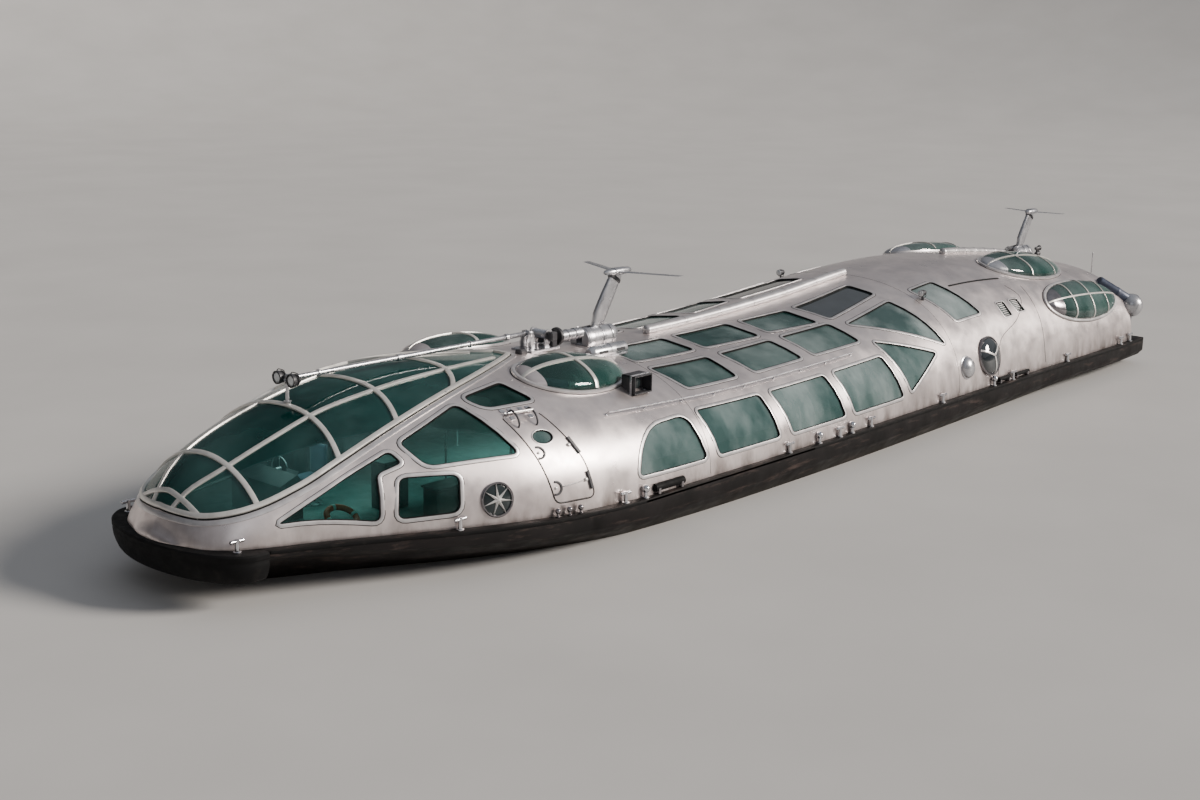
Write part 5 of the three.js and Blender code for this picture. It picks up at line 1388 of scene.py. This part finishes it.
CHEEK = ((-0.13, -0.10), (0.13, -0.10), (0.13, 0.10), (0.06, 0.30), (-0.06, 0.30), (-0.13, 0.10))
SPOOL = [(0.05, -0.24), (0.125, -0.235), (0.125, -0.21), (0.075, -0.205),
         *[(0.090 + 0.006 * (k % 2), -0.20 + 0.01 * k) for k in range(41)],
         (0.075, 0.205), (0.125, 0.21), (0.125, 0.235), (0.05, 0.24)]
BANDED_DRUM = [(0.04, 0), (0.12, 0.01), (0.12, 0.20), (0.135, 0.21), (0.135, 0.25), (0.12, 0.26), (0.12, 0.44),
               (0.135, 0.45), (0.135, 0.49), (0.12, 0.50), (0.12, 0.72)]
SLOTTED_DRUM = [(0.05, 0), (0.15, 0.02), (0.155, 0.04), (0.155, 0.50), (0.165, 0.51), (0.165, 0.55), (0.155, 0.56),
                (0.155, 1.06), (0.15, 1.08), (0.10, 1.16)]
SPINDLE = [(0.035, 0), (0.055, 0.006), (0.055, 0.03), (0.035, 0.036), (0.035, 0.12), (0.05, 0.13), (0.05, 0.15),
           (0.02, 0.155)]
WHEEL = [(0.05, 0), (0.19, 0.01), (0.20, 0.03), (0.20, 0.07), (0.19, 0.09), (0.05, 0.10)]
FUNNEL = [(0.02, 0), (0.09, 0.02), (0.06, 0.16), (0.035, 0.20), (0.035, 0.26)]


def boom_pivot():
    """The plate, cheeks and winch that carry the boom, with the small machinery round them."""
    x, z, foot = BOOM_X, BOOM_Z, crown_z(BOOM_X)
    winch = np.array((x - 0.42, 0, z - 0.06))
    _, port_y, port_z = on_body(5.45, 78)
    steel = [block((0.90, 0.62, 0.06), (x - 0.25, 0, foot + 0.02), 0.012)]
    for side in (1, -1):
        cheek = np.array([(x + a, side * 0.095, foot + (b + 0.10) / 0.40 * (z + 0.06 - foot)) for a, b in CHEEK])
        steel.append(prism(cheek - (0, 0.015, 0), cheek + (0, 0.015, 0)))
        steel.append(lathe([(0.045, 0), (0.050, 0.004), (0.050, 0.020), (0.030, 0.028)], (x, side * 0.108, z),
                           (0, side, 0), 18))
    steel += [lathe([(0.028, 0), (0.028, 0.21)], (x, -0.105, z), Y, 18), lathe(SPOOL, winch, Y, 28)]
    steel += [block((0.20, 0.035, 0.30), winch + (0, side * 0.19, -0.15), 0.012) for side in (1, -1)]
    steel += [lathe(SPINDLE, (x - 0.05, side * 0.22, foot + 0.05), Z, 18) for side in (1, -1)]
    steel += [lathe(BANDED_DRUM, (x - 1.52, 0.16, foot + 0.22), X),
              lathe(SLOTTED_DRUM, (4.86, port_y, port_z + 0.08), X, 28),
              block((1.10, 0.26, 0.05), (5.42, port_y + 0.01, port_z - 0.02), 0.012)]
    hose = [(x + a, b, foot + c) for a, b, c in (
        (-0.60, 0.20, 0.2), (-0.66, 0.10, 0.28), (-0.62, -0.10, 0.26), (-0.62, -0.2, 0.18))]
    dark = [block((0.20, 0.16, 0.20), winch + (-0.02, 0.32, -0.02), 0.03),
            lathe(FUNNEL, (x - 0.62, -0.20, foot + 0.06), Z, 20),
            block((0.16, 0.14, 0.18), (x - 0.58, 0.20, foot + 0.13), 0.02), pipe(smooth_path(hose, 0.04), 0.014, 8),
            lathe(WHEEL, (x - 0.80, 0.16, foot + 0.24), X, 28),
            block((0.22, 0.20, 0.20), (x + 0.42, 0.22, foot + 0.02), 0.03)]
    dark += [block((0.30, 0.05, 0.07), (slot_x, port_y + 0.135, port_z + 0.10), 0.012) for slot_x in (5.12, 5.68)]
    add_piece("boom_winch", steel, STEEL, ["boom_pivot"])
    add_piece("boom_motor", dark, DARK)


def boom_rest():
    x = CANOPY_HOOPS[2][1] - 0.06
    foot = crown_z(x)
    top = BOOM_Z - BOOM_RADIUS - 0.006 - foot
    post = lathe([(0.075, 0.045), (0.075, 0.060), (0.038, 0.072), (0.034, top - 0.04), (0.05, top - 0.03)],
                 (x, 0, foot), Z, 18)
    cradle = hoop(x, BOOM_Z, BOOM_RADIUS + 0.010, math.pi + 0.15, 2 * math.pi - 0.15, 13,
                  bar_profile(0.04, 0.012, 0.0, 0.004))
    add_piece("boom_cradle", [outward(post), cradle], STEEL, ["boom_rest"])


boom_pivot()
boom_rest()


# Lamps and pods on the body

SIDE_LAMP_X = 6.33
HOOD_SIZE = (0.56, 0.38, 0.40)
SHEET = 0.03


def side_lamps():
    """A black hooded lamp box on a silver bracket, forward of the roof windows."""
    x, seat, (long, deep, high) = SIDE_LAMP_X, on_body(SIDE_LAMP_X, 50), HOOD_SIZE
    y, z = seat[1] + 0.02, seat[2] + 0.15
    hood = [block((long, SHEET, high), (x, y - deep / 2 + SHEET / 2, z))]
    hood += [block((long, deep, SHEET), (x, y, z + end * (high - SHEET) / 2)) for end in (1, -1)]
    hood += [block((SHEET, deep, high), (x + end * (long - SHEET) / 2, y, z)) for end in (1, -1)]
    hood.append(block((0.48, 0.02, 0.32), (x, y - 0.06, z), 0.006))
    bracket = [block((0.06, 0.10, 0.14), (x + dx, y + 0.02, z - high / 2 - 0.02)) for dx in (-0.2, 0.2)]
    bracket += [block((0.60, 0.05, 0.02), (x, y + 0.08, z + dz), 0.006) for dz in (high / 2 + 0.004, -high / 2 - 0.006)]
    bracket += [block((0.02, 0.05, 0.42), (x + dx, y + 0.08, z), 0.006) for dx in (0.29, -0.29)]
    lens = lathe([(0.10, 0), (0.115, 0.02), (0.115, 0.05), (0.08, 0.065), (0.01, 0.072)], (x, y - 0.05, z), Y, 28)
    add_pair("side_lamp_hood_{}", hood, DARK, ["side_lamp_{}"])
    add_pair("side_lamp_lens_{}", [lens], BLACK_LENS, ())
    add_pair("side_lamp_bracket_{}", bracket, STEEL, ())


def floodlights():
    seat = on_body(-5.56, 55)
    lamp_at = seat + (0, 0, 0.17)
    post = lathe([(0.05, -0.06), (0.05, 0.012), (0.022, 0.02), (0.020, 0.15)], seat, Z, 14)
    lamp = lathe([(0.03, -0.10), (0.085, -0.08), (0.09, 0.0), (0.078, 0.05), (0.07, 0.09), (0.05, 0.085)],
                 lamp_at, (-1, 0, 0))
    yoke = [lamp_at + (0, a, b) for a, b in ((0.10, 0), (0.10, -0.09), (0, -0.12), (-0.10, -0.09), (-0.10, 0))]
    lens = lathe([(0.082, 0), (0.080, 0.010), (0.02, 0.018)], lamp_at + (0.10, 0, 0), X)
    add_pair("floodlight_housing_{}", [post, lamp, pipe(smooth_path(yoke, 0.03), 0.009, 8)], DARK,
             ["floodlight_{}"])
    add_pair("floodlight_lens_{}", [lens], LENS, sharp=0)


def stern_pods():
    """A dark tube down to a silver sphere on a leg, on each side of the transom."""
    from_, to = np.array((-15.30, 2.56, 2.56)), np.array((-16.15, 3.20, 1.95))
    ball_at, ball_axis = (-16.20, 3.27, 1.80), (-0.85, 0.5, -0.5)
    length = float(np.linalg.norm(to - from_))
    tube = [(0.10, 0), (0.15, 0.01), (0.175, 0.05), (0.175, length * 0.55), (0.182, length * 0.56),
            (0.182, length * 0.62), (0.175, length * 0.63), (0.175, length)]
    steel = [lathe(arc(0.36, -1.52, 1.52, 25), ball_at, ball_axis, 40),
             lathe([(0.355, -0.02), (0.368, -0.015), (0.368, 0.015), (0.355, 0.02)], ball_at, ball_axis, 40),
             lathe([(0.10, 0.0), (0.10, 0.015), (0.060, 0.03), (0.055, 0.55), (0.075, 0.62)],
                   (-16.25, 3.25, 0.80), Z, 20)]
    add_pair("stern_pod_ball_{}", steel, STEEL, ["stern_pod_{}"])
    add_pair("stern_pod_tube_{}", [lathe(tube, from_, to - from_, 28)], NAVY)


def horn():
    foot = np.array((-15.70, 0.26, crown_z(-15.70)))
    parts = [
        lathe([(0.07, -0.03), (0.07, 0.012), (0.035, 0.02), (0.032, 0.37)], foot, Z, 16),
        lathe([(0.03, -0.12), (0.045, -0.10), (0.050, 0.02), (0.060, 0.08), (0.085, 0.14), (0.075, 0.135),
               (0.03, 0.05)], foot + (0, 0, 0.33), (-1, 0, 0)),
        lathe([(0.03, -0.06), (0.06, -0.05), (0.065, 0.01), (0.095, 0.08), (0.085, 0.075), (0.03, 0.03)],
              foot + (0, 0, 0.16), (-1, 0, 0))]
    add_piece("horn", parts, DARK, ["horn_post"])


def flag_pole():
    pole = [(0.05, 0), (0.05, 0.012), (0.022, 0.02), (0.020, 1.0), (0.013, 2.42), (0.018, 2.43), (0.010, 2.45)]
    add_piece("flag_pole", [lathe(pole, (-16.40, 1.80, 0.80), Z, 14)], STEEL, ["flagstaff"])


side_lamps()
floodlights()
stern_pods()
horn()
flag_pole()


# Seams, rails and vents on the skin

# Each seam: its half width, its height, its (x, angle) rows
SIDE_SEAMS = (
    (0.008, 0.004, [(-9.60, 50), (-9.83, 40), (-9.0, 28), (-7.74, 19), (-7.42, 3)]),
    (0.008, 0.004, [(-10.39, 48), (-10.22, 24), (-10.15, 10), (-10.21, 2)]),
    (0.026, 0.010, [(-7.18, 58), (-8.5, 57), (-9.73, 56)]),
)
RAIL = [(7.75, 39), (6.6, 39.2), (5.5, 39.3), (3.2, 39.3), (1.0, 39.3), (-1.09, 39)]
RAIL_LIFT = 0.09
RAIL_POSTS_X = (7.75, 6.59, 5.40, 4.27, 3.17, 2.07, 1.01, -0.02, -1.09)


def seam(half, height, rows):
    rows = smooth_path(np.array(rows, float) * (1, NET_SCALE), 0.12) / (1, NET_SCALE)
    return skin_band(rows, bar_profile(half, height, 0.006, 0.002), False)


def skin_lines():
    parts = [seam(half, height, f(np.array(rows, float))) for _, _, f in SIDES for half, height, rows in SIDE_SEAMS]
    parts += [seam(0.005, 0.002, [(x, t) for t in np.linspace(1, 179, 25)]) for x in SEAMS_X[:2]]
    add_piece("skin_seams", parts, SEALANT_AND_SHADE, sharp=0)


def handrails():
    parts = [pipe(lifted_path(RAIL, [RAIL_LIFT] * len(RAIL), 0.15), 0.016, 10)]
    for x in RAIL_POSTS_X:
        place, _, _, out = frame_on_body(x, 39.2)
        parts.append(lathe([(0.030, -0.01), (0.030, 0.010), (0.012, 0.016), (0.011, 0.085)], place, out, 10))
    add_piece("handrails", on_both(parts), STEEL)


def vents():
    """Louvred vents in the rear flank."""
    louvres = []
    for outline in (OUTLINES[name] for name in VENTS):
        louvres.append(skin_band(grown(outline, 0.030), bar_profile(0.024, 0.012)))
        low, high = outline.min(0), outline.max(0)
        for t in np.linspace(low[1] + 0.7, high[1] - 0.7, 7):
            line = np.stack([np.linspace(low[0], high[0], 6), np.full(6, t)], -1)
            line = line[inside(line, outline)]
            if len(line) > 1:
                points, normals = on_skin(line, -0.02)
                louvres.append(band(points, unit(normals + (0, 0, -0.4)), bar_profile(0.012, 0.006, 0.004, 0.002)))
    backs = []
    for outline in (f(grown(OUTLINES[name], 0.02)) for name in VENTS for _, _, f in SIDES):
        top, low, _, faces = sheets(outline, (), -0.030, 0.014, 0.2)
        backs.append(shell(top, low, faces))
    add_piece("vent_louvres", on_both(louvres), RIM)
    add_piece("vent_backs", backs, VENT_PANE, sharp=0)


skin_lines()
handrails()
vents()


# Running gear

SHAFT_Y, SHAFT_SLOPE = 1.30, 0.082
SCREW_X, SCREW_Z = -13.40, -0.95
RUDDER_X = -14.55
STRUT_X = -12.90
HUB_RADIUS, SCREW_RADIUS = 0.05, 0.378
# Sections. Columns: ahead, aside, as lengths or as shares
BLADE = ((-0.5, 0), (-0.3, 0.8), (0.0, 1.0), (0.3, 0.7), (0.5, 0), (0.3, -0.2), (0.0, -0.3), (-0.3, -0.2))
RUDDER = ((0.13, 0), (0.10, 0.026), (0.02, 0.045), (-0.20, 0.030), (-0.43, 0.007), (-0.43, -0.007), (-0.20, -0.030),
          (0.02, -0.045), (0.10, -0.026))
BRACKET = ((0.085, 0), (0.05, 0.017), (-0.05, 0.014), (-0.085, 0), (-0.05, -0.014), (0.05, -0.017))
# Columns: z or height, scale of the section
RUDDER_LEVELS = ((-1.25, 0.80), (-1.235, 0.90), (-1.0, 0.96), (-0.6, 1.0), (-0.435, 1.0), (-0.42, 0.94))
BRACKET_LEVELS = ((0.06, 1.0), (0.2, 0.94), (0.38, 0.98), (0.48, 1.15))
# Columns: x, top z, low z
SKEG = ((-9.5, -0.79, -0.84), (-8.5, -0.85, -1.04), (-6.0, -0.98, -1.30), (9.5, -1.0, -1.30), (11.3, -0.95, -1.20),
        (12.5, -0.90, -1.08))


def propeller_blade(k, y, sign):
    turn = k * math.pi / 2
    radial, tangent = (np.array((0, math.cos(turn), math.sin(turn))), np.array((0, -math.sin(turn), math.cos(turn))))
    rows = []
    for u in np.linspace(0, 1, 9):
        radius = HUB_RADIUS + (SCREW_RADIUS - HUB_RADIUS) * u
        chord = 0.05 + 0.24 * math.sin(math.pi * min(1, 0.15 + 0.80 * u)) * (1 - 0.25 * u ** 6)
        pitch = math.radians(62 - 32 * u)
        aim = np.array(X) * math.sin(pitch) * sign + tangent * math.cos(pitch)
        thick = 0.012 * (1 - 0.75 * u)
        centre = np.array((SCREW_X, y, SCREW_Z)) + radial * radius
        rows.append([centre + a * chord * aim + b * thick * np.cross(aim, radial) for a, b in BLADE])
    return solid(rows)


def running_gear():
    axis, gear = (1, 0, SHAFT_SLOPE), []
    for side, sign, _ in SIDES:
        y = sign * SHAFT_Y
        start = (SCREW_X - 0.15, y, SCREW_Z - 0.15 * SHAFT_SLOPE)
        bronze = [lathe([(0.040, 0), (0.040, 3.60)], start, axis, 20),
                  lathe([(0.02, -0.07), (0.045, -0.05), (0.052, 0), (0.062, 0.10), (0.075, 0.20), (0.075, 0.26),
                         (0.045, 0.29)], start, axis, 28), *[propeller_blade(k, y, sign) for k in range(4)]]
        add_piece(f"propeller_{side}_bronze", bronze, BRONZE, [f"propeller_{side}"],
                  f"propeller_{side}_body", 40)
        blade = solid([[(RUDDER_X + a * scale, y + b * scale, z) for a, b in RUDDER] for z, scale in RUDDER_LEVELS])
        stock = lathe([(0.045, 0), (0.045, 0.60)], (RUDDER_X, y, -0.48), Z, 20)
        add_piece(f"rudder_{side}_blade", [blade, stock], HULL_PAINT, [f"rudder_{side}"],
                  f"rudder_{side}_body", 40)
        z = SCREW_Z + (STRUT_X - SCREW_X) * SHAFT_SLOPE
        gear.append(lathe([(0.060, -0.13), (0.078, -0.11), (0.085, 0), (0.078, 0.11), (0.060, 0.13)],
                          (STRUT_X, y, z), axis))
        gear.append(solid([[(STRUT_X + a * scale, y + b * scale, z + h) for a, b in BRACKET]
                           for h, scale in BRACKET_LEVELS]))
    gear.append(solid([[(x, 0.06, top), (x, 0.06, low + 0.02), (x, 0.045, low), (x, -0.045, low),
                        (x, -0.06, low + 0.02), (x, -0.06, top)] for x, top, low in SKEG]))
    add_piece("skeg_and_struts", gear, HULL_PAINT, sharp=40)


running_gear()


# Inside, as seen through the glass

def cushion(size, place, turn=0.0):
    """A crowned pad whose sides pull in between its corners, with three sewn channels across its top."""
    half_y, half_x, half_z = np.array((size[0], size[1], size[2])) / 2
    count_u, count_v = 25, 13
    u, v = np.meshgrid(np.linspace(-1, 1, count_u), np.linspace(-1, 1, count_v), indexing="ij")
    flat = 1 - np.maximum(np.abs(u) ** 8, np.abs(v) ** 5)
    groove = sum(np.exp(-((u - channel) / 0.035) ** 2) for channel in (-0.5, 0.0, 0.5))
    top = half_z * (0.55 + 0.45 * flat) - 0.012 * groove * flat + 0.25 * half_z * (1 - u ** 2) * (1 - v ** 2)
    x = half_x * u * np.where(np.abs(v) == 1, 0.97, 1) * (1 - 0.05 * (1 - v ** 2))
    y = half_y * v * np.where(np.abs(u) == 1, 0.985, 1) * (1 - 0.03 * (1 - u ** 2))
    upper, lower = (np.stack([y, x, z], -1).reshape(-1, 3) for z in (
        np.minimum(top, half_z), -half_z * (0.7 + 0.3 * flat)))
    points, faces = shell(upper, lower, net_faces(count_u, count_v, caps=False, loop=False))
    c, s = math.cos(turn), math.sin(turn)
    points = np.stack([c * points[:, 0] + s * points[:, 2], points[:, 1], -s * points[:, 0] + c * points[:, 2]], -1)
    return outward((points + np.asarray(place), faces))


def cabin_floor():
    """The covering of the cabin's floor, on the deck inside the body."""
    xs = np.linspace(-12.8, 15.2, 57)
    edge = [float(on_body(x, 0.5)[1]) - 0.14 for x in xs]
    rows = [[(x, side * y, deck_at(x) + up) for side, up in ((1, 0.002), (1, 0.014), (-1, 0.014), (-1, 0.002))]
            for x, y in zip(xs, edge)]
    add_piece("cabin_floor", [solid(rows)], FLOOR_MAT, sharp=0)


SEATS_X = np.arange(-3.80, 4.45, 2.60)


def seats():
    for side, sign, _ in SIDES:
        y = sign * 2.35
        pads, frames = [], []
        for x in SEATS_X:
            pads += [cushion((0.46, 1.40, 0.085), (x, y, 1.232)),
                     cushion((0.56, 1.40, 0.085), (x - 0.228, y, 1.50), -math.pi / 2)]
            frames += [pipe(smooth_path([(x - 0.02, y + dy, 0.86), (x, y + dy, 1.02), (x, y + dy, 1.19)]), 0.018, 8)
                       for dy in (-0.5, 0, 0.5)]
            frames.append(block((0.05, 1.36, 0.03), (x, y, 1.175), 0.008))
        frames.append(block((9.4, 0.06, 0.06), (0.20, y, 0.8303)))
        add_piece(f"seat_pads_{side}", pads, SEAT, [f"seats_{side}"], sharp=0)
        add_piece(f"seat_frames_{side}", frames, DARK)


DESK_X = 13.65
# Columns: back from the desk's front, height
DESK = ((0, 0), (0.52, 0), (0.52, 0.70), (0.12, 0.86), (0, 0.72))
HELM_WHEEL_RADIUS = 0.24
HELM_SEAT_X = 12.90


def helm():
    """The console with its wheel and panels, and the helmsman's seat."""
    floor, tilt = deck_at(14.17), Matrix.Rotation(math.radians(-45), 4, "Y")
    near, far = ([(DESK_X + a, y, floor + b) for a, b in DESK] for y in (-0.75, 0.75))
    panels = [block((0.02, 0.34, 0.20), (DESK_X + 0.055, y, floor + 0.80), 0.005, tilt) for y in (-0.48, 0.48)]
    add_piece("helm_desk", [prism(near, far), *panels], DARK, ["helm_console"], sharp=20)
    hub = np.array((DESK_X - 0.05, 0, floor + 0.80))

    def on_wheel(a):
        return hub + (0, HELM_WHEEL_RADIUS * math.cos(a), HELM_WHEEL_RADIUS * math.sin(a))

    rim = [on_wheel(a) for a in turns(24)]
    wheel = [pipe(smooth_path([rim[-1], *rim, *rim[:2]], 0.05)[2:-3], 0.014, 10, True)]
    wheel += [pipe(smooth_path([hub, on_wheel(a)]), 0.009, 8) for a in math.pi * np.array((3, 7, 11)) / 6]
    wheel.append(lathe([(0.02, -0.03), (0.04, -0.02), (0.04, 0.03), (0.03, 0.12)], hub, X, 16))
    add_piece("helm_wheel", wheel, STEEL, sharp=0)
    foot = deck_at(13.14)
    stand = [(0.24, 0), (0.24, 0.02), (0.20, 0.03), (0.05, 0.05), (0.048, 0.46)]
    add_piece("helm_stand", [lathe(stand, (HELM_SEAT_X, 0, foot), Z)], STEEL)
    pads = [cushion((0.48, 0.50, 0.11), (HELM_SEAT_X, 0, foot + 0.52)),
            cushion((0.62, 0.48, 0.10), (HELM_SEAT_X - 0.24, 0, foot + 0.86), -math.pi / 2)]
    add_piece("helm_pads", pads, SEAT, ["helm_seat"], sharp=0)


BUOY_RADIUS, BUOY_LEAN = 0.29, math.radians(28)


def lifebuoy():
    place = np.array((13.50, 1.70, deck_at(13.82) + 0.062))

    def on_ring(a):
        up = BUOY_RADIUS * (1 - math.sin(a)) * math.sin(BUOY_LEAN)
        return place + (BUOY_RADIUS * math.cos(a), BUOY_RADIUS * math.sin(a) * math.cos(BUOY_LEAN), up)

    ring = pipe([on_ring(a) for a in turns(48)], 0.058, 16, True)
    add_piece("lifebuoy_ring", [ring], ORANGE, ["lifebuoy"], sharp=0)
    wraps = [pipe([on_ring(a) for a in np.linspace(-0.12, 0.12, 6) + k * math.pi / 2], 0.061, 16) for k in range(4)]
    add_piece("lifebuoy_wraps", wraps, WHITE_BAND, sharp=0)


# Columns: x, length, y, height
CABINETS = ((11.35, 1.10, 2.35, 0.62), (9.60, 0.80, 2.70, 0.85), (11.90, 0.60, 1.20, 0.95))
POSTS = ((10.9, 1.70), (9.1, 1.70), (7.4, 1.70))


def front_saloon():
    """The dim shapes behind the forward windows: low cabinets along the side and thin posts under the roof."""
    cabinets, posts = [], []
    for x, length, y, height in CABINETS:
        deck = deck_at(x) + 0.012
        cabinets += [block((length, 0.45, height), (x, y, deck + height / 2), 0.03),
                     block((length + 0.06, 0.50, 0.04), (x, y, deck + height + 0.02), 0.015)]
    for x, y in POSTS:
        deck, top = deck_at(x) + 0.012, float(on_body(x, 70)[2]) - 0.05
        posts.append(lathe([(0.05, 0), (0.05, 0.012), (0.024, 0.02), (0.022, top - deck)], (x, y, deck), Z, 14))
    add_piece("saloon_cabinets", on_both(cabinets), DARK)
    add_piece("saloon_posts", on_both(posts), STEEL)


cabin_floor()
front_saloon()
seats()
helm()
lifebuoy()
for engine in ("engine_port", "engine_stbd"):
    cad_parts[engine].data.materials[0] = ENGINE_PAINT


# Floor and light

FLOOR_RADII = (60, 95, 105, 115, 125, 135, 145, 155, 165)
FLAT_TO = 95
TOWARD_KEY = (-0.62, 0.70, 0.35)
# Columns: x and watts of the lamps over the cabin
CABIN_LIGHTS = ((12.4, 35), (7.0, 130), (1.0, 130), (-5.0, 130), (-10.5, 130))


def floor():
    """A round floor that curves up into a low wall far behind."""
    mesh, sides = bpy.data.meshes.new("floor"), 96
    points = [(r * math.cos(a), r * math.sin(a), max(0, r - FLAT_TO) ** 2 * 0.006)
              for r in FLOOR_RADII for a in turns(sides)]
    rows = net_faces(len(FLOOR_RADII), sides, caps=False)
    mesh.from_pydata(points, [], [tuple(range(sides)), *[tuple(reversed(f)) for f in rows]])
    mesh.polygons.foreach_set("use_smooth", [True] * len(mesh.polygons))
    look = Look("floor_paper", roughness=0.75)
    look.colour(look.ramp(look.noise(0.2, 3), (0.3, (0.50, 0.49, 0.475)), (0.7, (0.54, 0.53, 0.515))))
    mesh.materials.append(look.material)
    made = bpy.data.objects.new("floor", mesh)
    bpy.context.scene.collection.objects.link(made)


def sky():
    """A soft sky that is brighter on the side of the key light."""
    world = bpy.data.worlds.new("studio")
    world.use_nodes = True
    tree = world.node_tree
    background = tree.nodes["Background"]
    gradient, place, split, toward, span = (tree.nodes.new("ShaderNode" + kind) for kind in (
        "ValToRGB", "TexCoord", "SeparateXYZ", "VectorMath", "MapRange"))
    gradient.color_ramp.elements[0].color = (0.42, 0.42, 0.44, 1)
    gradient.color_ramp.elements[1].color = (0.78, 0.82, 0.90, 1)
    toward.operation = "DOT_PRODUCT"
    toward.inputs[1].default_value = TOWARD_KEY
    for socket, value in (("From Min", -0.8), ("From Max", 0.9), ("To Min", 0.12), ("To Max", 0.62)):
        span.inputs[socket].default_value = value
    for output, socket in ((place.outputs["Generated"], split.inputs[0]), (split.outputs["Z"], gradient.inputs[0]),
                           (gradient.outputs[0], background.inputs["Color"]),
                           (place.outputs["Generated"], toward.inputs[0]),
                           (toward.outputs["Value"], span.inputs["Value"]),
                           (span.outputs[0], background.inputs["Strength"])):
        tree.links.new(output, socket)
    bpy.context.scene.world = world


def light(name, kind, place, aim, power, colour, **settings):
    data = bpy.data.lights.new(name, kind)
    data.energy, data.color = power, colour
    for setting, value in settings.items():
        setattr(data, setting, value)
    lamp = bpy.data.objects.new(name, data)
    bpy.context.scene.collection.objects.link(lamp)
    direction = Vector(aim) - Vector(place)
    lamp.matrix_world = Matrix.Translation(place) @ direction.to_track_quat("-Z", "Y").to_matrix().to_4x4()
    return lamp


floor()
sky()
light("key", "SUN", (-30, 38, 25), (0, 0, 1), 5.1, (1.0, 0.925, 0.85), angle=math.radians(17))
light("fill", "AREA", (34, 34, 30), (5, 0, 1), 700, (0.92, 0.96, 1.0), size=20)
for x, watts in CABIN_LIGHTS:
    light(f"cabin_{x:.0f}", "AREA", (x, 0, 2.55), (x, 0, 0), watts, (0.95, 1.0, 0.97), shape="RECTANGLE", size=3.0,
          size_y=1.6).visible_camera = False
